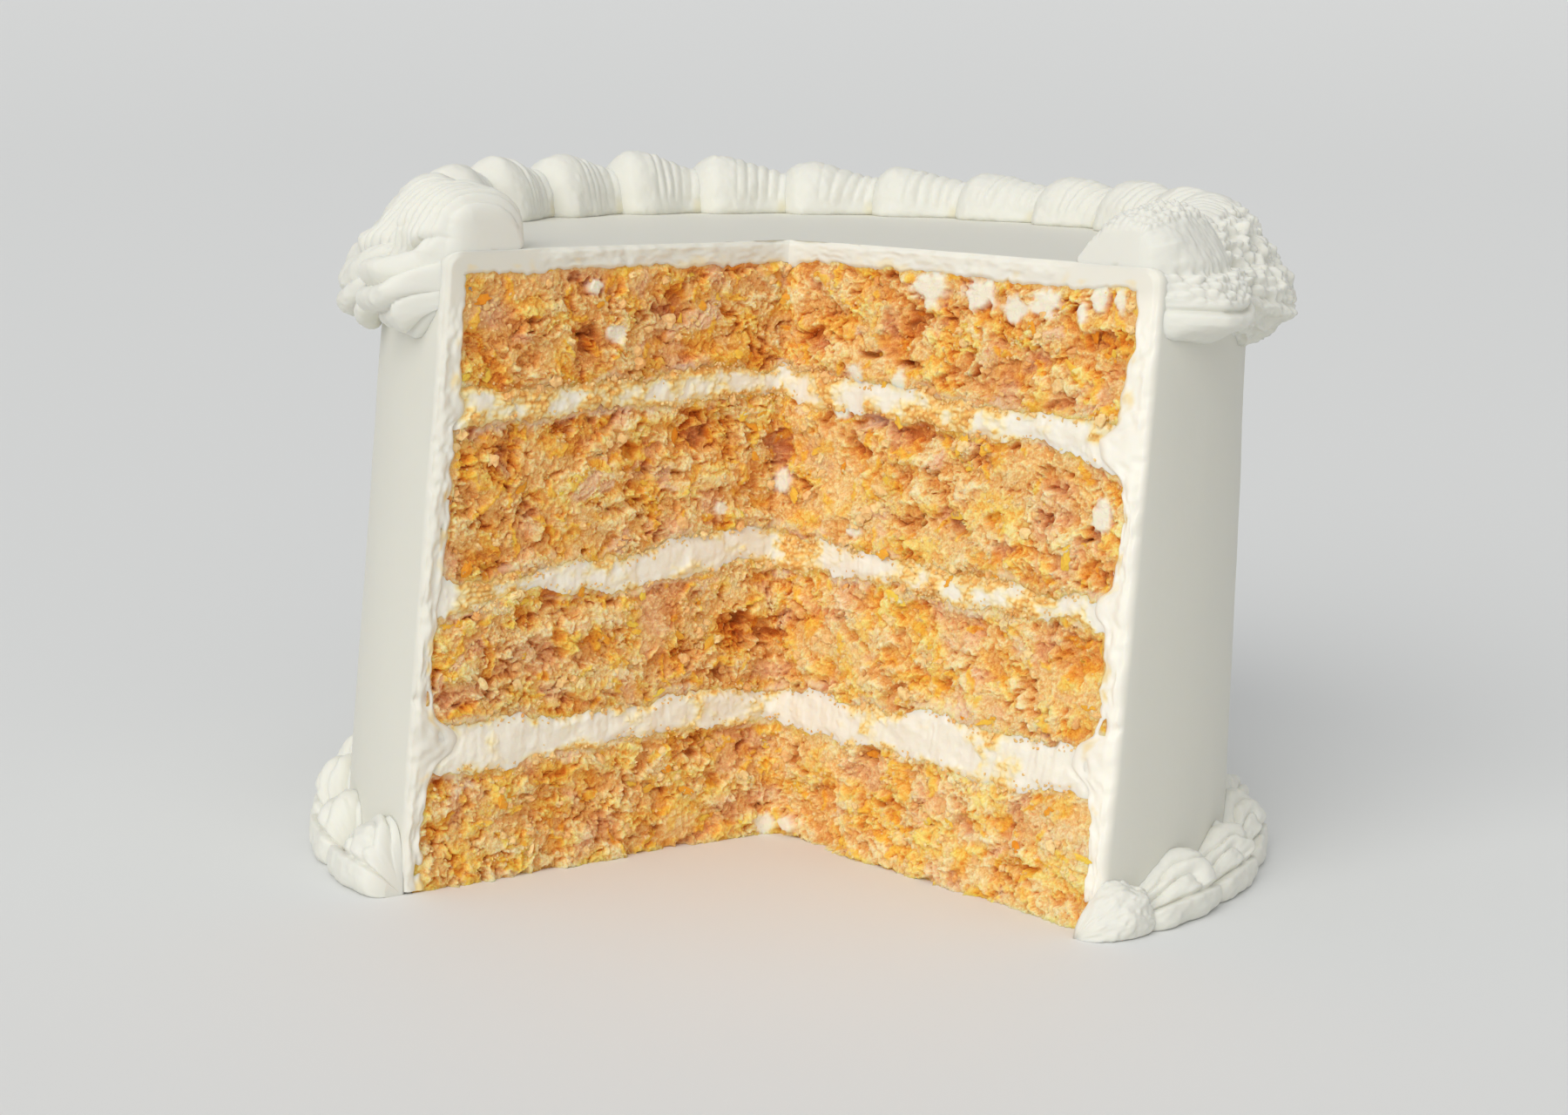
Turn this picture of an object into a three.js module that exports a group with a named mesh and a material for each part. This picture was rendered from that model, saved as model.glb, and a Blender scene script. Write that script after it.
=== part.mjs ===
// A round layer cake with about a quarter cut out, coated in white icing and edged with piped cream.
// Millimetres, +Z up. The origin is on the cake's axis at its base, and the cut-out opens towards -Y.
import * as THREE from "three";
import { mergeVertices } from "three/addons/utils/BufferGeometryUtils.js";

const { degToRad, lerp, smoothstep } = THREE.MathUtils;

// Iced outside: a drum that narrows a little and leans to one side as it rises
const baseRadius = 74.8;
const shoulderRadius = 71.2;
const shoulderHeight = 98;
const leanAtShoulder = new THREE.Vector2(3.65, 0.5);
const icingTop = 101.4;
const icingFoot = 0.4;
const icingThickness = 4.6;
const rimChamfer = 2.4;
const spongeTop = 98.3;
const gap = 0.3;

// Knife cuts: both run out from one upright line near the axis, and the right one twists as it rises
const cutLineAtBase = new THREE.Vector2(-3.1, -3.6);
const cutLineAtShoulder = new THREE.Vector2(-1.2, -4.1);
const rightCut = { atBase: degToRad(-50.4), atShoulder: degToRad(-44.5) };
const leftCut = { atBase: degToRad(216.1), atShoulder: degToRad(216.9) };

// Surfaces between the layers from the base up: their heights at the cut line and at both cut rims, and how
// they wander along the cuts, from the left rim over the cut line to the right rim
const seams = [
  { middle: 0, right: 0, left: 0, wander: [0, 0] },
  {
    middle: 19,
    right: 21.2,
    left: 19.5,
    wander: [-1, -0.4, -0.8, 0, 0.5, 0.8, 1.2, 0.8, 0.6, -0.2, -0.3, 0.3, -1.2, -2.2, -1.8, -0.4, -0.4],
  },
  {
    middle: 25.2,
    right: 28.8,
    left: 27.1,
    wander: [0, -1.2, 0.2, -1, 0.1, -0.5, 1.3, 0.7, -0.6, 1.2, 0, -1.5, 0.5, -0.3, -0.8, -1.2, 0],
  },
  {
    middle: 46.2,
    right: 46.4,
    left: 45.2,
    wander: [-1.5, 0, 1.5, 0.5, 0, 1, 1, 1.8, 0.5, 0.3, 0.6, 1, 0.2, -0.6, -0.8, 0.6, -1.5],
  },
  {
    middle: 53.4,
    right: 50.8,
    left: 51,
    wander: [0, -2, -2, -1.6, -1.2, -0.5, 0.4, 1, -0.5, -1, -0.8, -1.5, -1, -1, -1.5, -0.6, 0],
  },
  {
    middle: 75.2,
    right: 71.6,
    left: 74.9,
    wander: [-2, -0.5, -0.5, 0, 0, 0, 0.3, 0.8, 0.6, -0.4, 0, 0, 0, -0.5, 0.5, -0.2, -2],
  },
  {
    middle: 81.2,
    right: 77.3,
    left: 78.6,
    wander: [2, 0.6, 0.4, 0, 0, -0.3, 0, 0, -0.6, -1.2, -0.8, -0.5, -1, -1, -0.6, -0.4, -1],
  },
  { middle: spongeTop, right: spongeTop, left: spongeTop, wander: [0, 0] },
];

// Torn crumb and dragged cream on the cut faces
const cutColumns = 19;
const wallColumns = 24;
const spongeRows = 6;
const creamRows = 3;
const spongeCrag = 2;
const creamCrag = 0.7;
const seamCrag = 1;
const crags = [
  { length: 4.6, height: 4.6, share: 0.7, seed: 20 },
  { length: 1.9, height: 2.3, share: 0.45, seed: 30 },
];
const cragFade = 5;
const cragAtRim = -1;

// Piped border on the top rim: plump swirls that slump over the edge, ridged from the flat top to the wall
const swirlCount = 17;
const swirlFoot = 14.6;
const swirlDroop = 15.6;
const swirlMiddle = 4;
const swirlOver = [
  [13.4, 4.2],
  [9.4, 8.2],
  [4.6, 8.6],
  [0, 4.4],
  [-4.6, -1.6],
  [-8.2, -8.6],
  [-5, -14.6],
];
const swirlSize = { tail: 0.74, head: 1, end: 0.86, headAt: 0.78 };
const swirlAtCut = { size: 0.72, over: 0.34 };
const swirlRidges = { count: 5, span: 0.7, depth: 0.05 };
const swirlHeadStations = [0.35, 0.72, 1];

// How much higher, further out and lower the swirls are from the right cut round the back to the left cut
const crownRound = [1, 0.98, 1.05, 0.92, 1.02, 1.25, 1.3, 1.12, 1.04];
const reachRound = [0.95, 0.92, 0.95, 1, 1, 1, 1, 0.95, 0.9];
const droopRound = [0.8, 1.04, 0.97, 0.92, 0.9, 0.9, 0.9, 0.86, 0.84];
const swirlVary = { crown: 0.03, reach: 0.03, droop: 0.03 };
const swirlSeeds = { crown: 41, reach: 43, droop: 44 };

// Piped border round the base: shells with a straight lowest lobe, a tail and a fat head
const shellCount = 19;
const shellStations = [0, 0.14, 0.32, 0.52, 0.7, 0.84, 0.94, 1];
const shell = { tail: 0.5, headAt: 0.74, end: 0.62, top: 0.94 };
const shellReachRound = [7.8, 8, 8, 7.8, 7.4, 6.9];
const shellHeightRound = [9.4, 9.4, 10, 11, 12.2, 11.4];
const shellVary = { reach: 0.05, height: 0.06 };
const shellSeeds = { reach: 51, height: 52 };
const dab = { reach: 6.6, height: 8, startsAt: -0.012, endsAt: 0.0215, roundness: 1.7 };
const shellLobes = [
  [-0.34, 1],
  [-0.56, 0.84],
  [-0.8, 0.74],
  [-0.74, 0.48],
  [-1, 0.3],
  [-0.99, 0.12],
];

const mergeWithin = 1e-4;

const spongeLook = { color: 0xe0a850, roughness: 0.85, metalness: 0 };
const creamLook = { color: 0xf3ecd8, roughness: 0.6, metalness: 0 };
const icingLook = { color: 0xf1f0ea, roughness: 0.55, metalness: 0 };

// Repeatable draw between 0 and 1 for a whole-numbered place and a seed
function draw(column, row, seed) {
  const spread = Math.sin(column * 127.1 + row * 311.7 + seed * 74.7) * 43758.5453;
  return spread - Math.floor(spread);
}

// Smooth unevenness between -1 and 1
function unevenness(x, y, seed) {
  const column = Math.floor(x);
  const row = Math.floor(y);
  const across = smoothstep(x - column, 0, 1);
  const up = smoothstep(y - row, 0, 1);
  const lower = lerp(draw(column, row, seed), draw(column + 1, row, seed), across);
  const upper = lerp(draw(column, row + 1, seed), draw(column + 1, row + 1, seed), across);
  return 2 * lerp(lower, upper, up) - 1;
}

// Factor of 1 give or take an amount, repeatable for a numbered piece
function varied(number, seed, amount) {
  return 1 + amount * (2 * draw(number, 1, seed) - 1);
}

// Value between evenly spaced ones, from the right cut at 0 to the left cut at 1
function valueRound(values, turn) {
  const spot = turn * (values.length - 1);
  const before = Math.min(Math.floor(spot), values.length - 2);
  return lerp(values[before], values[before + 1], spot - before);
}

function cutLine(height) {
  return new THREE.Vector2().lerpVectors(cutLineAtBase, cutLineAtShoulder, height / shoulderHeight);
}

// Point on the iced wall, where turn runs from 0 at the right cut to 1 at the left cut
function wallPoint(turn, height) {
  const rise = height / shoulderHeight;
  const right = lerp(rightCut.atBase, rightCut.atShoulder, rise);
  const left = lerp(leftCut.atBase, leftCut.atShoulder, rise);
  const angle = lerp(right, left, turn);
  const radius = lerp(baseRadius, shoulderRadius, rise);
  const outward = new THREE.Vector2(Math.cos(angle), Math.sin(angle));
  return leanAtShoulder.clone().multiplyScalar(rise).addScaledVector(outward, radius);
}

// Point at a depth behind the iced wall, measured towards the cut line, so both cuts come out flat
function place(turn, depth, height) {
  const wall = wallPoint(turn, height);
  const inward = cutLine(height).sub(wall);
  const plan = wall.addScaledVector(inward.clone().normalize(), Math.min(depth, inward.length()));
  return new THREE.Vector3(plan.x, plan.y, height);
}

// Closed skin through rings of equal length, with each end filled as its flat outline is
function loft(rings, startOutline, endOutline) {
  const positions = [];
  const addTriangle = (a, b, c) => {
    if (a.distanceTo(b) * b.distanceTo(c) * c.distanceTo(a) > 0) {
      [a, b, c].forEach((point) => positions.push(...point.toArray()));
    }
  };
  for (let k = 0; k + 1 < rings.length; k += 1) {
    rings[k].forEach((start, i) => {
      const next = (i + 1) % rings[k].length;
      addTriangle(start, rings[k][next], rings[k + 1][next]);
      addTriangle(start, rings[k + 1][next], rings[k + 1][i]);
    });
  }
  const first = rings[0];
  const last = rings.at(-1);
  for (const [a, b, c] of THREE.ShapeUtils.triangulateShape(startOutline, [])) {
    addTriangle(first[c], first[b], first[a]);
  }
  for (const [a, b, c] of THREE.ShapeUtils.triangulateShape(endOutline, [])) {
    addTriangle(last[a], last[b], last[c]);
  }
  const geometry = new THREE.BufferGeometry();
  geometry.setAttribute("position", new THREE.Float32BufferAttribute(positions, 3));
  return mergeVertices(geometry, mergeWithin);
}

function addPiece(group, name, geometry, look) {
  geometry.computeVertexNormals();
  const piece = new THREE.Mesh(geometry, new THREE.MeshStandardMaterial({ ...look, flatShading: true }));
  piece.name = name;
  group.add(piece);
}

// Columns round a layer: out along the right cut, round the wall, and back in along the left cut
function layerColumns() {
  const columns = [];
  for (let i = 0; i <= cutColumns; i += 1) {
    columns.push({ face: "right", turn: 0, out: i / cutColumns });
  }
  for (let i = 1; i < wallColumns; i += 1) {
    columns.push({ face: "wall", turn: i / wallColumns, out: 1 });
  }
  for (let i = cutColumns; i > 0; i -= 1) {
    columns.push({ face: "left", turn: 1, out: i / cutColumns });
  }
  return columns;
}

function seamHeight(level, column) {
  const { middle, right, left, wander } = seams[level];
  const height = lerp(middle, lerp(right, left, column.turn), column.out);
  if (column.face === "wall") {
    return height + lerp(wander.at(-1), wander[0], column.turn);
  }
  const fromLeftRim = column.face === "right" ? 1 + column.out : 1 - column.out;
  return height + valueRound(wander, fromLeftRim / 2);
}

// Point of a layer's skin; on the cut faces the crumb stands out or sinks in by the crag
function layerPoint(column, height, crag) {
  const reach = wallPoint(column.turn, height).distanceTo(cutLine(height)) - icingThickness;
  const fromCutLine = reach * column.out;
  const point = place(column.turn, reach + icingThickness - fromCutLine, height);
  if (column.face === "wall") {
    return point;
  }
  const side = column.face === "right" ? 1 : -1;
  const outward = wallPoint(column.turn, height).sub(cutLine(height)).normalize();
  let rough = 0;
  for (const { length, height: rise, share, seed } of crags) {
    rough += share * unevenness(fromCutLine / length, height / rise, seed + side);
  }
  const fade = smoothstep(fromCutLine, 0, cragFade) * smoothstep(reach - fromCutLine, cragAtRim, cragFade);
  const push = crag * fade * rough;
  point.x += side * outward.y * push;
  point.y -= side * outward.x * push;
  return point;
}

function layerGeometry(level, rows, crag) {
  const columns = layerColumns();
  const rings = [];
  for (let row = 0; row <= rows; row += 1) {
    const rise = row / rows;
    const inside = row > 0 && row < rows;
    rings.push(columns.map((column) => {
      const floorGap = level === 0 ? 0 : gap / 2;
      const bottom = seamHeight(level, column);
      const top = seamHeight(level + 1, column);
      const point = layerPoint(column, lerp(bottom, top, rise), inside ? crag : seamCrag);
      point.z = lerp(bottom + floorGap, top - gap / 2, rise);
      return point;
    }));
  }
  const plan = (ring) => ring.map((point) => new THREE.Vector2(point.x, point.y));
  return loft(rings, plan(rings[0]), plan(rings.at(-1)));
}

function layers() {
  const group = new THREE.Group();
  for (let level = 0; level + 1 < seams.length; level += 1) {
    const number = Math.floor(level / 2) + 1;
    if (level % 2 === 0) {
      addPiece(group, `sponge_${number}`, layerGeometry(level, spongeRows, spongeCrag), spongeLook);
    } else {
      addPiece(group, `cream_${number}`, layerGeometry(level, creamRows, creamCrag), creamLook);
    }
  }
  return group;
}

// Coat over wall and top: one section in depth and height, swept from cut to cut and closed at the cut line
function icingCoat() {
  const group = new THREE.Group();
  const inner = icingThickness - gap;
  const under = spongeTop + gap;
  const toCutLine = baseRadius * 2;
  const section = [
    [0, icingFoot],
    [inner, icingFoot],
    [inner, under / 2],
    [inner, under],
    [toCutLine, under],
    [toCutLine, icingTop],
    [rimChamfer, icingTop],
    [0, icingTop - rimChamfer],
    [0, icingTop / 2],
  ];
  const outline = section.map(([depth, height]) => new THREE.Vector2(depth, height));
  const rings = [];
  for (let i = 0; i <= 2 * wallColumns; i += 1) {
    const turn = i / (2 * wallColumns);
    rings.push(section.map(([depth, height]) => place(turn, depth, height)));
  }
  addPiece(group, "icing_coat", loft(rings, outline, outline), icingLook);
  return group;
}

// Places along a swirl: each groove and crest of its ridged tail, then its smooth head
function swirlStations() {
  const stations = [];
  const steps = 2 * swirlRidges.count;
  for (let i = 0; i <= steps; i += 1) {
    stations.push((i / steps) * swirlRidges.span);
  }
  return [...stations, ...swirlHeadStations.map((along) => lerp(swirlRidges.span, 1, along))];
}

// Swirls are rounded off towards a cut
function roundedAtCut(fromCut) {
  const left = 1 - Math.min(fromCut / swirlAtCut.over, 1);
  return lerp(swirlAtCut.size, 1, Math.sqrt(1 - left * left));
}

// Size of a swirl along its length: ridged tail at 0, smooth head near 1
function swirlSwell(along, number) {
  const ridge = along / swirlRidges.span;
  const wave = ridge < 1 ? Math.cos(ridge * swirlRidges.count * 2 * Math.PI) : 0;
  const ridged = 1 - swirlRidges.depth * wave;
  const rise = lerp(swirlSize.tail, swirlSize.head, smoothstep(along, 0, swirlSize.headAt));
  if (number === swirlCount - 1) {
    return ridged * rise * roundedAtCut(1 - along);
  }
  const close = lerp(1, swirlSize.end, smoothstep(along, swirlSize.headAt, 1) ** 2);
  return ridged * close * (number === 0 ? roundedAtCut(along) : rise);
}

function swirlSection(size, number, turn) {
  const crown = size * valueRound(crownRound, turn) * varied(number, swirlSeeds.crown, swirlVary.crown);
  const reach = size * valueRound(reachRound, turn) * varied(number, swirlSeeds.reach, swirlVary.reach);
  const droop = size * valueRound(droopRound, turn) * varied(number, swirlSeeds.droop, swirlVary.droop);
  const inward = (depth) => swirlMiddle + (depth - swirlMiddle) * (depth > swirlMiddle ? size : reach);
  const hug = [
    [-gap, icingTop - swirlDroop * droop],
    [-gap, icingTop - rimChamfer + gap / 2],
    [rimChamfer, icingTop + gap],
    [inward(swirlFoot), icingTop + gap],
  ];
  const upward = (rise) => icingTop + gap + rise * (rise > 0 ? crown : droop);
  return [...hug, ...swirlOver.map(([depth, rise]) => [inward(depth), upward(rise)])];
}

function topBorder() {
  const group = new THREE.Group();
  const seamTurn = gap / (2 * baseRadius * (leftCut.atBase - rightCut.atBase));
  for (let i = 0; i < swirlCount; i += 1) {
    const first = i / swirlCount + (i > 0 ? seamTurn : 0);
    const last = (i + 1) / swirlCount - (i + 1 < swirlCount ? seamTurn : 0);
    const sections = [];
    const rings = [];
    for (const along of swirlStations()) {
      const turn = lerp(first, last, along);
      const section = swirlSection(swirlSwell(along, i), i, turn);
      sections.push(section.map(([depth, height]) => new THREE.Vector2(depth, height)));
      rings.push(section.map(([depth, height]) => place(turn, depth, height)));
    }
    const geometry = loft(rings, sections[0], sections.at(-1));
    addPiece(group, `top_swirl_${String(i + 1).padStart(2, "0")}`, geometry, icingLook);
  }
  return group;
}

function shellSection(reach, height) {
  const floor = [
    [-reach, 0],
    [-gap, 0],
    [-gap, height * shell.top],
  ];
  return [...floor, ...shellLobes.map(([out, up]) => [Math.min(out * reach, -2 * gap), up * height])];
}

function shellGeometry(first, last, sizeAt, reach, height) {
  const rings = shellStations.map((along) => {
    const size = sizeAt(along);
    const section = shellSection(reach * size, height * size);
    return section.map(([depth, level]) => place(lerp(first, last, along), depth, level));
  });
  const outline = shellSection(reach, height).map(([depth, level]) => new THREE.Vector2(depth, level));
  return loft(rings, outline, outline);
}

function shellSwell(along) {
  const rise = lerp(shell.tail, 1, smoothstep(along, 0, shell.headAt));
  return rise * lerp(1, shell.end, smoothstep(along, shell.headAt, 1) ** 2);
}

function dabSwell(along) {
  return Math.sqrt(1 - (dab.roundness * (along - 0.5)) ** 2);
}

function baseBorder() {
  const group = new THREE.Group();
  const dabGeometry = shellGeometry(dab.startsAt, dab.endsAt, dabSwell, dab.reach, dab.height);
  addPiece(group, "base_dab", dabGeometry, icingLook);
  const pitch = (1 - dab.endsAt) / shellCount;
  const clear = gap / baseRadius / (leftCut.atBase - rightCut.atBase);
  for (let i = 0; i < shellCount; i += 1) {
    const first = dab.endsAt + pitch * i + clear;
    const last = dab.endsAt + pitch * (i + 1) - (i + 1 < shellCount ? clear : 0);
    const reach = valueRound(shellReachRound, first) * varied(i, shellSeeds.reach, shellVary.reach);
    const height = valueRound(shellHeightRound, first) * varied(i, shellSeeds.height, shellVary.height);
    const geometry = shellGeometry(first, last, shellSwell, reach, height);
    addPiece(group, `base_shell_${String(i + 1).padStart(2, "0")}`, geometry, icingLook);
  }
  return group;
}

const cake = new THREE.Group();
cake.add(layers(), icingCoat(), topBorder(), baseBorder());

export default cake;
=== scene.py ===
import math
import random

import bmesh
import bpy
import numpy as np
from mathutils import Matrix, Vector


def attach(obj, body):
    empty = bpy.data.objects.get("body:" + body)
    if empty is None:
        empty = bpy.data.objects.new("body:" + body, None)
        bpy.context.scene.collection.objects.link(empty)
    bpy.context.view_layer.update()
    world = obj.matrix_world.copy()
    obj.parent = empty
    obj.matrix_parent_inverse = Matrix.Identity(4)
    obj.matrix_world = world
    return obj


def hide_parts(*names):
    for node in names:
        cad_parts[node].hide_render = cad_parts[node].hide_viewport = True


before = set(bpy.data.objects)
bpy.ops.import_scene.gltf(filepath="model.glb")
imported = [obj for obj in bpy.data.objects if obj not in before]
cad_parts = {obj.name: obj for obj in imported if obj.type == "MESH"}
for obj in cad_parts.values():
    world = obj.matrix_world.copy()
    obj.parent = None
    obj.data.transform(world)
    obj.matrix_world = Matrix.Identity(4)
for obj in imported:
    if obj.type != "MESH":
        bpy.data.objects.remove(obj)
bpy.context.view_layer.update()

# Sizes are in millimetres until a mesh is filled, and in metres where a note says so
mm = 0.001

# The iced drum narrows and leans a little as it rises; two knife cuts meet on one upright line
drum = {
    "baseRadius": 74.8,
    "shoulderRadius": 71.2,
    "shoulder": 98.0,
    "lean": (3.65, 0.5),
    "top": 101.4,
    "foot": 0.4,
    "coat": 4.6,
    "spongeTop": 98.3,
}
cuts = {
    "lineBase": (-3.1, -3.6),
    "lineTop": (-1.2, -4.1),
    "right": (math.radians(-50.4), math.radians(-44.5)),
    "left": (math.radians(216.1), math.radians(216.9)),
    "round": 3.0,
}

# Heights of the seams between layers at the left rim, the cut line and the right rim
seamRows = [
    (0.0, 0.0, 0.0),
    (19.5, 19.0, 21.2),
    (27.1, 25.2, 28.8),
    (45.2, 46.2, 46.4),
    (51.0, 53.4, 50.8),
    (74.9, 75.2, 71.6),
    (78.6, 81.2, 77.3),
    (98.3, 98.3, 98.3),
]
# How each seam wanders up and down along the cut, from the left rim over the cut line to the right rim
seamWander = [
    [0],
    [-1, -0.4, -0.8, 0, 0.5, 0.8, 1.2, 0.8, 0.6, -0.2, -0.3, 0.3, -1.2, -2.2, -1.8, -0.4, -0.4],
    [0, -1.2, 0.2, -1, 0.1, -0.5, 1.3, 0.7, -0.6, 1.2, 0, -1.5, 0.5, -0.3, -0.8, -1.2, 0],
    [-1.5, 0, 1.5, 0.5, 0, 1, 1, 1.8, 0.5, 0.3, 0.6, 1, 0.2, -0.6, -0.8, 0.6, -1.5],
    [0, -2, -2, -1.6, -1.2, -0.5, 0.4, 1, -0.5, -1, -0.8, -1.5, -1, -1, -1.5, -0.6, 0],
    [-2, -0.5, -0.5, 0, 0, 0, 0.3, 0.8, 0.6, -0.4, 0, 0, 0, -0.5, 0.5, -0.2, -2],
    [2, 0.6, 0.4, 0, 0, -0.3, 0, 0, -0.6, -1.2, -0.8, -0.5, -1, -1, -0.6, -0.4, -1],
    [0],
]


def mix(a, b, t):
    return a + (b - a) * t


def ease(x, start, end):
    t = np.clip((x - start) / (end - start), 0, 1)
    return t * t * (3 - 2 * t)


def unit(v):
    return v / np.linalg.norm(v, axis=-1, keepdims=True)


# Repeatable draws, soft unevenness and pebble cells over a flat sheet
def drawAt(column, row, seed):
    n = column.astype(np.int64) * 374761393 + row.astype(np.int64) * 668265263 + seed * 974634353
    n = n & 0xFFFFFFFF
    n = ((n ^ (n >> 13)) * 1274126177) & 0xFFFFFFFF
    n = ((n ^ (n >> 15)) * 1103515245) & 0xFFFFFFFF
    return ((n ^ (n >> 16)) & 0xFFFFFF) / 0xFFFFFF


def cloud(x, y, seed):
    x, y = np.broadcast_arrays(np.asarray(x, float), np.asarray(y, float))
    column, row = np.floor(x), np.floor(y)
    across, up = ease(x - column, 0, 1), ease(y - row, 0, 1)
    low = mix(drawAt(column, row, seed), drawAt(column + 1, row, seed), across)
    high = mix(drawAt(column, row + 1, seed), drawAt(column + 1, row + 1, seed), across)
    return 2 * mix(low, high, up) - 1


def clouds(x, y, seed, layers=3):
    total = np.zeros(np.broadcast(x, y).shape)
    for k in range(layers):
        total += cloud(x * 2**k + 7.3 * k, y * 2**k + 3.1 * k, seed + 17 * k) / 2**k
    return total / (2 - 0.5 ** (layers - 1))


# Distance to the middle of the nearest pebble, and that pebble's own draw
def pebbles(x, y, seed):
    x, y = np.broadcast_arrays(np.asarray(x, float), np.asarray(y, float))
    column, row = np.floor(x), np.floor(y)
    near = np.full(x.shape, 9.0)
    pick = np.zeros(x.shape)
    for dx in (-1, 0, 1):
        for dy in (-1, 0, 1):
            c, r = column + dx, row + dy
            px = c + 0.12 + 0.76 * drawAt(c, r, seed)
            py = r + 0.12 + 0.76 * drawAt(c, r, seed + 101)
            far = np.hypot(px - x, py - y)
            closer = far < near
            pick = np.where(closer, drawAt(c, r, seed + 202), pick)
            near = np.where(closer, far, near)
    return near, pick


# Rounded ridges with narrow grooves between them, one to each whole step of the phase
def ridges(phase, power, level):
    return np.abs(np.sin(phase * math.pi)) ** power - level


def crease(x, at, width):
    return np.exp(-(((x - at) / width) ** 2))


def domed(x):
    return np.sqrt(np.clip(1 - x, 0, 1))


# Plan of the drum: turn runs from 0 at the right cut round the back to 1 at the left cut
def cutLineAt(height):
    rise = (height / drum["shoulder"])[..., None]
    return mix(np.array(cuts["lineBase"]), np.array(cuts["lineTop"]), rise)


def wallAt(turn, height):
    rise = height / drum["shoulder"]
    angle = mix(mix(*cuts["right"], rise), mix(*cuts["left"], rise), turn)
    radius = mix(drum["baseRadius"], drum["shoulderRadius"], rise)
    outward = np.stack([np.cos(angle), np.sin(angle)], axis=-1)
    return np.array(drum["lean"]) * rise[..., None] + outward * radius[..., None]


def place(turn, depth, height):
    turn, depth, height = np.broadcast_arrays(*(np.asarray(v, float) for v in (turn, depth, height)))
    wall = wallAt(turn, height)
    inward = cutLineAt(height) - wall
    length = np.linalg.norm(inward, axis=-1)
    plan = wall + inward * (np.minimum(depth, length) / length)[..., None]
    return np.concatenate([plan, height[..., None]], axis=-1)


# Point on a closed smooth curve through the given points, for t from 0 to 1
def smoothLoop(points, t):
    knots = np.array(points, float)
    count = len(knots)
    spot = (np.asarray(t, float) % 1) * count
    k = np.floor(spot).astype(int)
    u = (spot - k)[..., None]
    p0, p1, p2, p3 = (knots[(k + d) % count] for d in (-1, 0, 1, 2))
    bend = 2 * p0 - 5 * p1 + 4 * p2 - p3
    twist = 3 * p1 - p0 - 3 * p2 + p3
    return 0.5 * (2 * p1 + (p2 - p0) * u + bend * u**2 + twist * u**3)


# Value between evenly spaced ones, from the right cut round to the left cut
def valueRound(values, turn):
    return np.interp(turn, np.linspace(0, 1, len(values)), values)


# Spot on the cut faces: along is the distance from the cut line, minus on the left face
def faceLength(along, height):
    rim = wallAt(np.where(along >= 0, 0.0, 1.0), height)
    return np.linalg.norm(rim - cutLineAt(height), axis=-1)


def faceAt(along, height):
    line = cutLineAt(height)
    right = unit(wallAt(np.zeros_like(height), height) - line)
    left = unit(wallAt(np.ones_like(height), height) - line)
    soft = cuts["round"]
    straight = line + np.where((along >= 0)[..., None], right, left) * np.abs(along)[..., None]
    t = np.clip((along + soft) / (2 * soft), 0, 1)[..., None]
    bend = (line + left * soft) * (1 - t) ** 2 + line * 2 * t * (1 - t) + (line + right * soft) * t**2
    plan = np.where((np.abs(along) < soft)[..., None], bend, straight)
    facingRight = np.stack([right[..., 1], -right[..., 0]], axis=-1)
    facingLeft = np.stack([-left[..., 1], left[..., 0]], axis=-1)
    facing = unit(mix(facingLeft, facingRight, ease(along, -soft, soft)[..., None]))
    return plan, facing


# Inner edge of the coat on the cuts: thickness from foot to rim, and where the top's lower edge hangs down
coatCut = {
    "left": (4.2, 2.8, 3.6, 5.0, 2.6, 3.0, 3.4, 3.9, 4.2, 3.4, 4.7, 3.9, 4.0),
    "right": (3.6, 2.9, 3.3, 5.6, 4.0, 3.8, 4.4, 3.2, 3.0, 5.4, 5.8, 3.8, 4.0),
    "ragged": ((2.7, 0.6), (1.0, 0.35)),
    "topEdge": 97.4,
    "topRagged": ((7.0, 0.6), (2.6, 0.6), (1.0, 0.4), (0.5, 0.2)),
    # swellings: 1 on the right cut or -1 on the left, height, how much thicker, half height
    "bulges": (
        (1, 73.5, 3.4, 3.0),
        (1, 49.5, 2.6, 2.4),
        (1, 26.0, 3.6, 3.2),
        (-1, 24.0, 3.4, 3.2),
        (-1, 77.0, 1.8, 2.0),
    ),
    "least": 2.2,
}


def coatEdge(side, height):
    rise = height / drum["spongeTop"]
    thick = np.where(side > 0, valueRound(coatCut["right"], rise), valueRound(coatCut["left"], rise))
    for k, (length, amount) in enumerate(coatCut["ragged"]):
        thick = thick + amount * cloud(height / length, 5.5 * side, 71 + k)
    for where, spot, more, half in coatCut["bulges"]:
        thick = thick + np.where(side == where, more, 0) * np.exp(-(((height - spot) / half) ** 4))
    return np.maximum(thick, coatCut["least"])


def topEdge(side, along):
    low = coatCut["topEdge"]
    for k, (length, amount) in enumerate(coatCut["topRagged"]):
        low = low + amount * cloud(along / length, 5.5 * side, 81 + k)
    return np.minimum(low, drum["spongeTop"] - 0.3)


def addObject(name, data):
    holder = bpy.data.objects.new(name, data)
    bpy.context.scene.collection.objects.link(holder)
    return holder


def addMark(mesh, key, values):
    layer = mesh.attributes.new(key, "FLOAT", "POINT")
    layer.data.foreach_set("value", np.asarray(values, np.float32))


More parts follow.
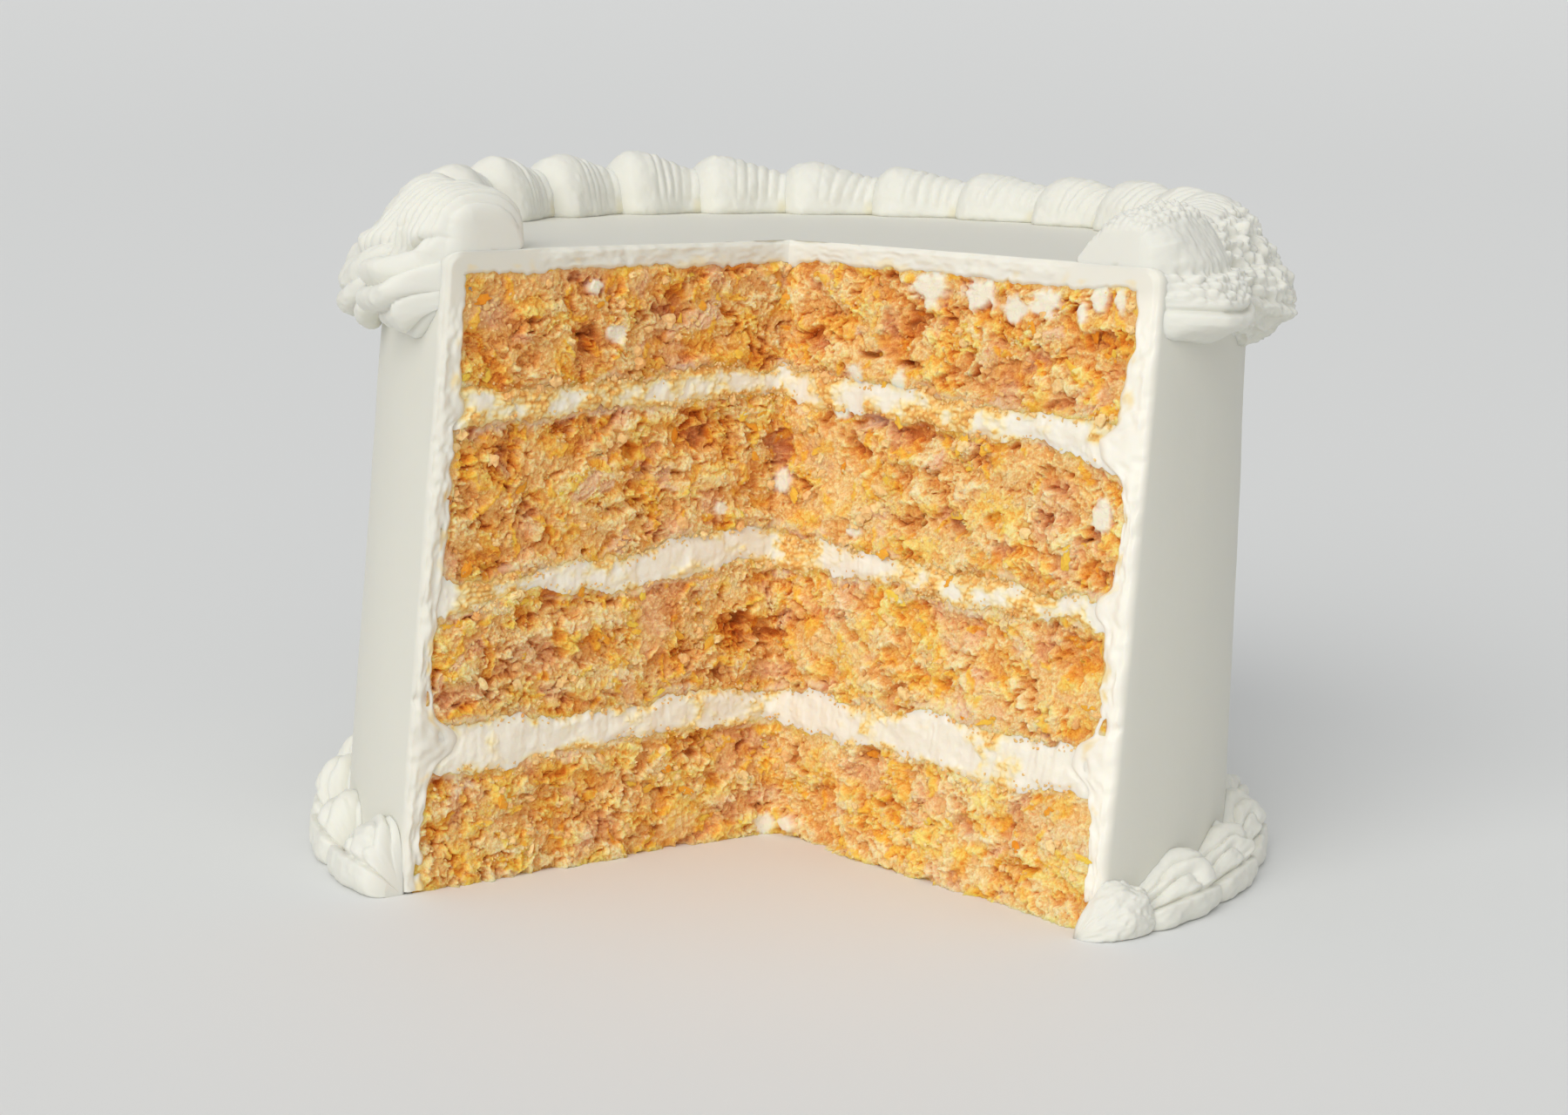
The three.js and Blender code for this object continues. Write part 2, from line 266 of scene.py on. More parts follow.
# A grid of columns by rows bent into shape; its looped side meets itself and its open ends are filled
def sheetPiece(name, columns, rows, loop, shape):
    flat = bmesh.new()
    bmesh.ops.create_grid(flat, x_segments=columns, y_segments=rows, size=0.5)
    mesh = bpy.data.meshes.new(name)
    flat.to_mesh(mesh)
    flat.free()
    spots = np.empty(len(mesh.vertices) * 3, np.float32)
    mesh.vertices.foreach_get("co", spots)
    spots = spots.reshape(-1, 3)
    column = np.rint((spots[:, 0] + 0.5) * columns)
    row = np.rint((spots[:, 1] + 0.5) * rows)
    if loop == "columns":
        column = column % columns
    else:
        row = row % rows
    points, marks = shape(column, row)
    mesh.vertices.foreach_set("co", (points * mm).astype(np.float32).ravel())
    for key, values in marks.items():
        addMark(mesh, key, values)
    return closePiece(name, mesh)


def closePiece(name, mesh):
    body = bmesh.new()
    body.from_mesh(mesh)
    bmesh.ops.remove_doubles(body, verts=body.verts, dist=0.004 * mm)
    caps = bmesh.ops.holes_fill(body, edges=[e for e in body.edges if e.is_boundary], sides=0)["faces"]
    bmesh.ops.recalc_face_normals(body, faces=body.faces)
    for face in body.faces:
        face.smooth = True
    for face in caps:
        for edge in face.edges:
            edge.smooth = False
    body.to_mesh(mesh)
    body.free()
    return addObject(name, mesh)


def settle(piece, slotName, material, *nodes):
    piece.data.materials.append(material)
    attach(piece, "root")
    if nodes:
        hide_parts(*nodes)
    return piece


# Colours are given as seen on screen, 0 to 255
def paint(red, green, blue):
    tones = []
    for value in (red, green, blue):
        v = value / 255
        tones.append(v / 12.92 if v <= 0.04045 else ((v + 0.055) / 1.055) ** 2.4)
    return (*tones, 1.0)


def newMaterial(name, roughness, glow, glowReach):
    material = bpy.data.materials.new(name)
    material.use_nodes = True
    tree = material.node_tree
    shader = tree.nodes["Principled BSDF"]
    shader.inputs["Roughness"].default_value = roughness
    shader.inputs["Specular IOR Level"].default_value = 0.3
    shader.inputs["Subsurface Weight"].default_value = glow
    shader.inputs["Subsurface Radius"].default_value = glowReach
    shader.inputs["Subsurface Scale"].default_value = mm
    return material, tree, shader


def readMark(tree, key):
    node = tree.nodes.new("ShaderNodeAttribute")
    node.attribute_name = key
    return node.outputs["Fac"]


def blendTone(tree, factor, first, second):
    node = tree.nodes.new("ShaderNodeMix")
    node.data_type = "RGBA"
    tree.links.new(factor, node.inputs["Factor"])
    for socket, tone in ((node.inputs["A"], first), (node.inputs["B"], second)):
        if isinstance(tone, tuple):
            socket.default_value = tone
        else:
            tree.links.new(tone, socket)
    return node.outputs["Result"]


def toneRamp(tree, factor, stops):
    node = tree.nodes.new("ShaderNodeValToRGB")
    tree.links.new(factor, node.inputs["Fac"])
    bar = node.color_ramp
    while len(bar.elements) < len(stops):
        bar.elements.new(0.5)
    for element, (position, *tone) in zip(bar.elements, stops):
        element.position = position
        element.color = paint(*tone)
    return node.outputs["Color"]


# Shared grain: fine unevenness for colour and for relief
def grainGroup():
    group = bpy.data.node_groups.new("fineGrain", "ShaderNodeTree")
    for name, way in (("Size", "INPUT"), ("Mottle", "OUTPUT"), ("Pits", "OUTPUT")):
        group.interface.new_socket(name, in_out=way, socket_type="NodeSocketFloat")
    source = group.nodes.new("NodeGroupInput")
    target = group.nodes.new("NodeGroupOutput")
    spot = group.nodes.new("ShaderNodeTexCoord")
    mottle = group.nodes.new("ShaderNodeTexNoise")
    mottle.inputs["Detail"].default_value = 4
    bubbles = group.nodes.new("ShaderNodeTexVoronoi")
    pits = group.nodes.new("ShaderNodeMapRange")
    pits.inputs["From Min"].default_value = 0.05
    pits.inputs["From Max"].default_value = 0.35
    for texture in (mottle, bubbles):
        group.links.new(spot.outputs["Object"], texture.inputs["Vector"])
        group.links.new(source.outputs["Size"], texture.inputs["Scale"])
    group.links.new(mottle.outputs["Fac"], target.inputs["Mottle"])
    group.links.new(bubbles.outputs["Distance"], pits.inputs["Value"])
    group.links.new(pits.outputs["Result"], target.inputs["Pits"])
    return group


fineGrain = grainGroup()


def addGrain(tree, size):
    node = tree.nodes.new("ShaderNodeGroup")
    node.node_tree = fineGrain
    node.inputs["Size"].default_value = size
    return node


def addBump(tree, shader, height, strength, depth):
    bump = tree.nodes.new("ShaderNodeBump")
    bump.inputs["Strength"].default_value = strength
    bump.inputs["Distance"].default_value = depth * mm
    tree.links.new(height, bump.inputs["Height"])
    tree.links.new(bump.outputs["Normal"], shader.inputs["Normal"])


def addMath(tree, kind, first, second, third=0.0):
    node = tree.nodes.new("ShaderNodeMath")
    node.operation = kind
    for socket, value in zip(node.inputs, (first, second, third)):
        if isinstance(value, (int, float)):
            socket.default_value = value
        else:
            tree.links.new(value, socket)
    return node.outputs["Value"]


# The grain's mottle, evenly to both sides of nought
def addMottle(tree, grain, amount):
    return addMath(tree, "MULTIPLY_ADD", grain.outputs["Mottle"], amount, -amount / 2)


def spongeMaterial():
    material, tree, shader = newMaterial("sponge crumb", 0.8, 0.6, (1.8, 0.9, 0.35))
    grain = addGrain(tree, 3200)
    uneven = addMottle(tree, grain, 0.75)
    # The ramps run from painted light on clump tops to painted shade in pockets, cracks, hollows and on
    # clump sides, mixed with the crumb's own tone and grain
    depth = addMath(tree, "ADD", readMark(tree, "toneAndShade"), uneven)
    crumb = toneRamp(tree, depth, (
        (0.0, 255, 236, 190),
        (0.28, 250, 216, 152),
        (0.52, 240, 184, 108),
        (0.78, 230, 154, 76),
        (1.0, 208, 122, 54),
    ))
    pink = toneRamp(tree, depth, (
        (0.0, 254, 222, 184),
        (0.4, 240, 188, 146),
        (1.0, 206, 124, 78),
    ))
    yellow = toneRamp(tree, depth, (
        (0.0, 255, 234, 160),
        (0.3, 254, 214, 118),
        (0.55, 246, 180, 76),
        (0.8, 232, 142, 46),
        (1.0, 204, 104, 28),
    ))
    tone = blendTone(tree, readMark(tree, "yellow"), crumb, yellow)
    tone = blendTone(tree, readMark(tree, "meat"), tone, pink)
    carrot = toneRamp(tree, depth, (
        (0.0, 255, 220, 110),
        (0.5, 252, 186, 62),
        (1.0, 228, 124, 28),
    ))
    tone = blendTone(tree, readMark(tree, "carrot"), tone, carrot)
    tone = blendTone(tree, readMark(tree, "smear"), tone, paint(246, 237, 216))
    tree.links.new(tone, shader.inputs["Base Color"])
    addBump(tree, shader, addMath(tree, "ADD", grain.outputs["Mottle"], grain.outputs["Pits"]), 0.6, 0.18)
    return material


def fillingMaterial():
    material, tree, shader = newMaterial("cream filling", 0.5, 0.35, (1.6, 1.3, 0.8))
    grain = addGrain(tree, 2400)
    uneven = addMottle(tree, grain, 0.5)
    smear = addMath(tree, "MULTIPLY_ADD", uneven, readMark(tree, "stainAndShade"), readMark(tree, "stainAndShade"))
    tone = toneRamp(tree, smear, (
        (0.0, 245, 240, 225),
        (0.35, 248, 236, 202),
        (0.62, 251, 228, 168),
        (0.82, 246, 204, 122),
        (1.0, 232, 168, 86),
    ))
    tree.links.new(tone, shader.inputs["Base Color"])
    addBump(tree, shader, grain.outputs["Mottle"], 0.35, 0.14)
    return material


# Tones: plain, a cut-face tone painted brighter where a cut is lit, and a stain tone that on the piped cream
# is painted shade
def creamMaterial(name, tone, slicedAndLit, stainAndShade):
    material, tree, shader = newMaterial(name, 0.55, 0.3, (1.6, 1.3, 0.9))
    grain = addGrain(tree, 700)
    plain = blendTone(tree, readMark(tree, "slicedAndLit"), tone, slicedAndLit)
    tree.links.new(blendTone(tree, readMark(tree, "stainAndShade"), plain, stainAndShade), shader.inputs["Base Color"])
    addBump(tree, shader, grain.outputs["Mottle"], 0.25, 0.15)
    return material


def bitMaterial(name, pale, dark, glow):
    material, tree, shader = newMaterial(name, 0.7, 0.35, glow)
    grain = addGrain(tree, 2600)
    uneven = addMottle(tree, grain, 0.8)
    mixed = addMath(tree, "ADD", readMark(tree, "tone"), uneven)
    tree.links.new(toneRamp(tree, mixed, ((0.0, *pale), (1.0, *dark))), shader.inputs["Base Color"])
    addBump(tree, shader, grain.outputs["Mottle"], 0.5, 0.12)
    return material


spongeLook = spongeMaterial()
fillingLook = fillingMaterial()
icingLook = creamMaterial("white icing", paint(227, 225, 213), paint(249, 244, 231), paint(242, 218, 158))
# the piped cream's third tone is the painted shade of the pockets at the swirls' inner feet
pipedLook = creamMaterial("piped cream", paint(231, 230, 220), paint(236, 233, 222), paint(224, 216, 184))
crumbLook = bitMaterial("loose crumb", (254, 226, 166), (232, 160, 82), (1.2, 0.6, 0.25))
carrotLook = bitMaterial("carrot shred", (255, 212, 84), (246, 148, 32), (1.4, 0.6, 0.15))
print("materials ready")


# Layers: open crumb and dragged cream on the cut faces, plain where the icing hides them
layerSheet = {
    "face": 560,
    "wall": 60,
    "step": 0.25,
    "tuck": 4.0,
    "under": 2.0,  # how far a layer stops short of the wall, under the coat
    "span": 66,  # length of one cut face that the unevenness is spread over
    "sharp": 72,
    "seed": 40,
}
ragged = ((7.0, 0.7), (3.1, 0.9), (1.1, 0.55), (0.5, 0.3))


def seamAt(level, out, turn):
    left, middle, right = seamRows[level]
    rim = np.where(turn > 0, mix(right, left, turn), np.where(out >= 0, right, left))
    height = mix(middle, rim, np.abs(out))
    if level in (0, len(seamRows) - 1):
        return height
    wander = seamWander[level]
    height = height + np.where(turn > 0, mix(wander[-1], wander[0], turn), valueRound(wander, (out + 1) / 2))
    spot = np.where(turn > 0, 1 - 2 * turn, out) * layerSheet["span"]
    for k, (length, amount) in enumerate(ragged):
        height = height + amount * cloud(spot / length, 0.5, 300 + 20 * k + level)
    return np.maximum(height, seamAt(level - 1, out, turn) + 0.5)


# Share of the way from the cut line to the rim, minus on the left face
def shareOut(along, height):
    return np.clip(along / (faceLength(along, height) - layerSheet["under"]), -1, 1)


# Bends one direction of a sheet: amount, length along, length up and draw of each step
def stir(start, along, height, steps, seed):
    for amount, length, tall, draw in steps:
        start = start + amount * cloud(along / length, height / tall, seed + draw)
    return start


# Slivers lying every way, one to a cell: 1 in the middle of one and 0 at its edge
def slivers(x, y, cell, length, width, share, seed):
    column, row = np.floor(x / cell), np.floor(y / cell)
    best = np.zeros(x.shape)
    for dx in (-1, 0, 1):
        for dy in (-1, 0, 1):
            c, r = column + dx, row + dy
            angle = math.pi * drawAt(c, r, seed)
            px = (c + drawAt(c, r, seed + 1)) * cell - x
            py = (r + drawAt(c, r, seed + 2)) * cell - y
            size = (0.5 + drawAt(c, r, seed + 3)) * (drawAt(c, r, seed + 4) < share) + 1e-6
            ahead = (px * np.cos(angle) + py * np.sin(angle)) / (length * size)
            aside = (py * np.cos(angle) - px * np.sin(angle)) / (width * size)
            best = np.maximum(best, 1 - np.hypot(ahead, aside))
    return best


crumb = {
    "stirAlong": ((0.8, 4.1, 3.7, 1), (0.5, 1.2, 1.2, 2), (0.24, 0.5, 0.5, 13)),
    "stirUp": ((0.7, 3.7, 3.9, 3), (0.5, 1.1, 1.2, 4), (0.24, 0.5, 0.5, 14)),
    "broad": 0.9,
    # length, height, softness of the sides and painted light and shade of each size of clump
    "clumps": ((6.0, 0.8, 0.05, 0.2), (2.5, 0.55, 0.08, 0.2), (1.1, 0.34, 0.14, 0.18)),
    # how much darker the steep sides of the clumps are painted: painted shade
    "wall": 0.7,
    "pocket": 1.4,
    "crack": 1.0,
    "grain": 0.26,
    "fine": 0.15,
    "shred": 0.25,
    "fibre": 0.45,
    "smear": 0.3,
    "soaked": 0.4,
    "soakReach": 2.4,
}
# Hollows by place on the cut: along, height, half width, half height, depth; each is also painted darker
# inside, as painted shade
hollows = [
    (9.0, 5.0, 9.5, 9.0, 2.0),
    (-38.3, 87.8, 1.7, 1.0, 2.4),
    (-30.0, 68.7, 1.9, 1.4, 2.6),
    (-42.4, 74.0, 2.2, 0.8, 1.6),
    (18.4, 84.2, 2.8, 1.0, 2.6),
    (26.0, 82.6, 3.0, 0.8, 2.0),
    (20.4, 73.5, 2.6, 0.9, 2.2),
    (39.0, 58.0, 3.2, 1.2, 1.8),
    (-12.0, 72.0, 3.0, 1.2, 1.8),
    (-8.0, 38.0, 4.0, 1.6, 1.6),
    (-60.0, 26.6, 5.5, 0.7, 1.6),
]
# Smears and flecks of cream on the crumb: along, height, half width, half height
creamSmears = [
    (29.6, 95.6, 3.4, 3.2), (38.8, 95.4, 3.8, 2.6), (46.2, 93.2, 2.6, 2.1), (51.8, 94.8, 3.0, 2.2),
    (58.4, 93.8, 1.3, 1.6), (61.6, 96.4, 1.6, 2.8), (65.4, 96.0, 1.1, 1.9), (-37.3, 95.0, 1.6, 1.5),
    (-33.4, 87.5, 1.8, 1.6), (0.6, 61.3, 1.8, 2.4), (66.1, 63.1, 1.8, 2.8), (5.5, 48.7, 2.3, 1.7),
    (12.5, 74.4, 2.0, 1.5), (15.6, 79.0, 1.8, 2.9), (24.4, 80.0, 1.4, 2.2), (-0.6, 2.0, 2.6, 1.7),
    (4.4, 2.2, 1.8, 1.2), (-12.0, 57.4, 1.2, 1.0), (17.0, 54.6, 1.4, 1.1), (38.1, 47.0, 1.8, 1.5),
]
# Knots of pale meat that stand out: along, height, slant in degrees, spread
meatSpots = [
    (-62.6, 35.6, 60, 3.0), (-38.7, 62.2, 52, 3.4), (-35.4, 62.6, 40, 2.0), (-36.0, 65.8, 60, 2.2),
    (-6.0, 52.9, 80, 1.6), (-59.7, 71.4, 20, 2.6), (-31.0, 53.7, 75, 2.6), (-23.8, 63.9, 20, 2.6),
    (-22.0, 61.6, -20, 2.0), (-18.0, 89.1, 30, 4.0), (-15.0, 90.0, 40, 3.4), (-21.0, 87.4, 25, 3.0),
    (15.8, 87.5, 30, 2.0), (33.6, 68.7, 60, 2.4), (54.3, 90.3, 20, 2.0), (22.2, 58.2, 10, 2.6),
    (35.4, 45.8, 15, 2.4),
]


def spongeRelief(along, height):
    seed = layerSheet["seed"]
    x = stir(along, along, height, crumb["stirAlong"], seed)
    y = stir(height, along, height, crumb["stirUp"], seed)
    loose = 1 - 0.6 * ease(clouds(along / 9, height / 7, seed + 5, 2), 0.1, 0.4)
    push = crumb["broad"] * clouds(along / 12, height / 9, seed + 6)
    # This mark mixes the crumb's own tone, a little paler on the right face and darker higher up, with
    # painted shade in pockets, cracks, hollows and on clump sides and painted light on clump tops
    toneAndShade = 0.45 - 0.07 * ease(along, 0, 12) + 0.08 * (height / 50 - 1)
    # ragged clumps, smaller ones on larger ones, painted pale on top as painted light and darker on their
    # steep sides as painted shade
    for k, (length, tall, soft, clumpShade) in enumerate(crumb["clumps"]):
        top = ease(clouds(x / length, y / (0.75 * length), seed + 15 + 5 * k, 4), -soft, soft)
        push = push + tall * (top - 0.5) * loose
        toneAndShade = toneAndShade + clumpShade * (0.5 - top + crumb["wall"] * 4 * top * (1 - top)) * loose
    pocket = ease(clouds(x / 5.5, y / 3.6, seed + 10, 4), 0.32, 0.46)
    torn = ease(clouds(along / 6, height / 5, seed + 7, 2), 0.0, 0.3)
    crack = torn * np.exp(-np.abs(clouds(x / 5.4, y / 4.0, seed + 8, 4)) / 0.035)
    near, lift = pebbles(x / 0.7, y / 0.65, seed + 11)
    fine = cloud(along / 0.4, height / 0.4, seed + 12)
    push += crumb["grain"] * (0.5 - near + 0.7 * (lift - 0.5)) + crumb["fine"] * fine
    push -= crumb["pocket"] * pocket + crumb["crack"] * crack
    # pockets and cracks are painted darker as well as sunk: painted shade
    toneAndShade += 0.28 * pocket + 0.4 * crack + 0.2 * (near - 0.42) - 0.18 * (lift - 0.5) - 0.1 * fine
    for spot, level, half, halfUp, depth in hollows:
        inside = 1 - ease(np.hypot((x - spot) / half, (y - level) / halfUp), 0.6, 1.15)
        push -= depth * inside
        # the darkening inside a hollow is painted shade
        toneAndShade += inside * min(0.5, 0.6 / half)
    carrot = ease(slivers(x, y, 3.4, 1.9, 0.6, 0.35, seed + 20), 0.05, 0.3)
    carrot = np.maximum(carrot, 0.75 * ease(slivers(x, y, 8.0, 3.2, 1.6, 0.4, seed + 25), 0.0, 0.5))
    push += crumb["shred"] * carrot
    blotchy = 0.5 * clouds(along / 1.4, height / 1.4, seed + 60)
    meat = 0.7 * ease(slivers(x, y, 9.0, 4.4, 2.0, 0.45, seed + 30), 0.0, 0.8)
    meat = np.maximum(meat, 0.55 * ease(clouds(along / 8, height / 5, seed + 64, 2), 0.2, 0.6))
    for spot, level, slant, spread in meatSpots:
        cos, sin = math.cos(math.radians(slant)), math.sin(math.radians(slant))
        ahead = (x - spot) * cos + (y - level) * sin
        aside = (y - level) * cos - (x - spot) * sin
        inside = ease(1.1 - np.hypot(ahead / spread, aside / (0.5 * spread)) + blotchy, 0, 0.4)
        fibre = cloud(aside / 0.3 + cloud(ahead / 2, aside, seed + 61), ahead / 2.4, seed + 62)
        push = mix(push, push * 0.4 + crumb["fibre"] * (0.6 + fibre), 0.8 * inside)
        toneAndShade = mix(toneAndShade, 0.3 - 0.35 * fibre, 0.7 * inside)
        meat = np.maximum(meat, 0.85 * inside)
    out = shareOut(along, height)
    seams = [seamAt(level, out, np.zeros_like(out)) for level in range(1, len(seamRows) - 1)]
    fromSeam = np.min([np.abs(height - seam) for seam in seams], axis=0)
    soaked = clouds(along / 5.0, height / 3.0, seed + 63)
    wet = 1.6 * soaked + blotchy + 0.45 - fromSeam / crumb["soakReach"]
    smear = crumb["soaked"] * (ease(wet, 0, 0.7) * ease(fromSeam, 0, 0.5))
    for spot, level, half, halfUp in creamSmears:
        within = 1 - np.hypot((along - spot) / half, (height - level) / halfUp) + blotchy
        smear = np.maximum(smear, ease(within, -0.2, 0.35))
    push = mix(push, crumb["smear"] + 0.5 * blotchy + 0.5 * crumb["fine"] * fine, smear)
    yellow = ease(clouds(x / 4.0, y / 3.2, seed + 50), -0.15, 0.4)
    marks = {
        "toneAndShade": np.clip(toneAndShade, 0, 1),
        "yellow": yellow,
        "carrot": 0.9 * carrot,
        "meat": meat,
        "smear": smear,
    }
    return push, marks


# How far crumb is smeared over each cream, from the left rim over the cut line to the right rim
smeared = {
    1: (0.1, 0.6, 0.2, 0.5, 0.45, 0.6, 0.35, 0.45, 0.4, 0.0, 0.15, 0.8, 0.15, 0.15, 0.35, 0.25, 0.0),
    3: (0.0, 1.0, 0.8, 0.4, 0.95, 0.7, 0.25, 0.4, 1.0, 0.8, 0.15, 0.8, 0.9, 0.75, 0.9, 0.8, 0.3),
    5: (0.0, 0.75, 1.0, 0.85, 1.0, 0.7, 0.9, 0.65, 0.7, 1.0, 0.4, 0.8, 1.0, 0.8, 0.5, 0.35, 0.3),
}
dragged = {
    "stir": ((0.6, 3, 5, 1), (0.3, 0.9, 0.9, 6)),
    "proud": 0.2,
    "streak": 0.16,
    "lump": 0.6,
    "grain": 0.8,
    "edge": 0.2,
}
seamMeet = {"reach": 1.3, "amount": 0.6, "length": 2.6, "seed": 95}


def fillingRelief(along, height, level):
    seed = 60 + 10 * level
    x = stir(along, along, height, dragged["stir"], seed)
    streak = cloud(x / 1.5, height / 8, seed + 2) + 0.6 * cloud(x / 0.6, height / 6, seed + 3)
    lump = clouds(along / 5.0, height / 3.6, seed + 4)
    smear = valueRound(smeared[level], along / (2 * layerSheet["span"]) + 0.5)
    patch = clouds(x / 3.2, height / 2.8, seed + 5, 4)
    out = shareOut(along, height)
    flat = np.zeros_like(out)
    toEdge = np.minimum(height - seamAt(level, out, flat), seamAt(level + 1, out, flat) - height)
    edge = 1 - ease(toEdge + 0.5 * patch, 0.0, 1.6)
    stainAndShade = ease(1.3 * patch + 1.3 * smear - 0.5 + 0.4 * edge, 0.0, 1.0)
    near, lift = pebbles(x, height / 0.9, seed + 7)
    push = dragged["proud"] + dragged["streak"] * streak * (1 - stainAndShade) + dragged["lump"] * lump
    push = push + dragged["grain"] * stainAndShade * (0.9 - near + lift - 0.5) - dragged["edge"] * edge
    # the crumb stain on the cream is paler on each grain and darker between the grains, painted light and
    # shade, with a random tone for each grain
    grainShade = np.clip(0.5 * lift + 0.9 * near, 0, 1)
    return push, {"stainAndShade": np.clip(stainAndShade * mix(0.5, 1.1, grainShade), 0, 1)}


# At a seam crumb and cream meet at one uneven level
def meetAtSeam(push, along, fromSeam, level):
    if level in (0, len(seamRows) - 1):
        return push
    shared = seamMeet["amount"] * clouds(along / seamMeet["length"], level + 0.5, seamMeet["seed"])
    return mix(shared, push, ease(fromSeam, 0, seamMeet["reach"]))


# Under the edge of the coat a layer sinks in, so that the coat's own edge shows
def sinkAtCoat(push, along, height, sunk):
    side = np.where(along >= 0, 1.0, -1.0)
    fromWall = faceLength(along, height) - np.abs(along)
    hidden = 1 - ease(fromWall - coatEdge(side, height), -0.3, 0.6)
    hidden = np.maximum(hidden, ease(height - topEdge(side, np.abs(along)), -0.7, 0.2))
    return mix(push, sunk, hidden)


def layerPiece(name, level, relief, sunk):
    face, wall = layerSheet["face"], layerSheet["wall"]
    rows = int(max(np.array(seamRows[level + 1]) - np.array(seamRows[level])) / layerSheet["step"]) + 2

    def shape(column, row):
        out = np.clip(2 * column / face - 1, -1, 1)
        turn = np.clip((column - face) / wall, 0, 1)
        rise = np.clip((row - 1) / (rows - 2), 0, 1)
        tucked = (row == 0) | (row == rows)
        low, high = seamAt(level, out, turn), seamAt(level + 1, out, turn)
        height = mix(low, high, rise)
        along = out * (faceLength(out, height) - layerSheet["under"])
        plan, facing = faceAt(along, height)
        push, marks = relief(along, height)
        push = meetAtSeam(push, along, height - low, level)
        push = meetAtSeam(push, along, high - height, level + 1)
        push = sinkAtCoat(push, along, height, sunk)
        push = np.where(tucked, -layerSheet["tuck"], push)
        cut = np.concatenate([plan + facing * push[:, None], height[:, None]], axis=-1)
        depth = drum["coat"] + np.where(tucked, layerSheet["tuck"], 0.0)
        return np.where((column <= face)[:, None], cut, place(turn, depth, height)), marks

    piece = sheetPiece(name, face + wall, rows, "columns", shape)
    piece.data.set_sharp_from_angle(angle=math.radians(layerSheet["sharp"]))
    return piece


def fillingOf(level):
    return lambda along, height: fillingRelief(along, height, level)


for level in range(len(seamRows) - 1):
    number = level // 2 + 1
    if level % 2 == 0:
        piece = layerPiece(f"crumb_layer_{number}", level, spongeRelief, -0.15)
        settle(piece, "sponge", spongeLook, f"sponge_{number}")
    else:
        piece = layerPiece(f"filling_{number}", level, fillingOf(level), -0.1)
        settle(piece, "cream_filling", fillingLook, f"cream_{number}")
print("layers ready")


# Coat over wall and top, as one flattened tube from cut to cut
icing = {
    "cap": 22,
    "skin": 170,
    "inside": 24,
    "wallRows": 190,
    "rimRows": 8,
    "topRows": 150,
    "rim": 2.4,
    "girth": 330,  # lengths round the wall, up it and over the top for the unevenness
    "tall": 98,
    "over": 66,
    "swell": 0.3,
    "brushed": 0.05,
    "topSwell": 0.25,
    "ripple": 0.4,  # the knife's marks on the cuts
    "fineRipple": 0.25,
    "proud": 0.35,
    "gouge": 0.5,
    "calm": 0.2,
    "innerEdge": -0.4,
    "bevel": 0.6,
}


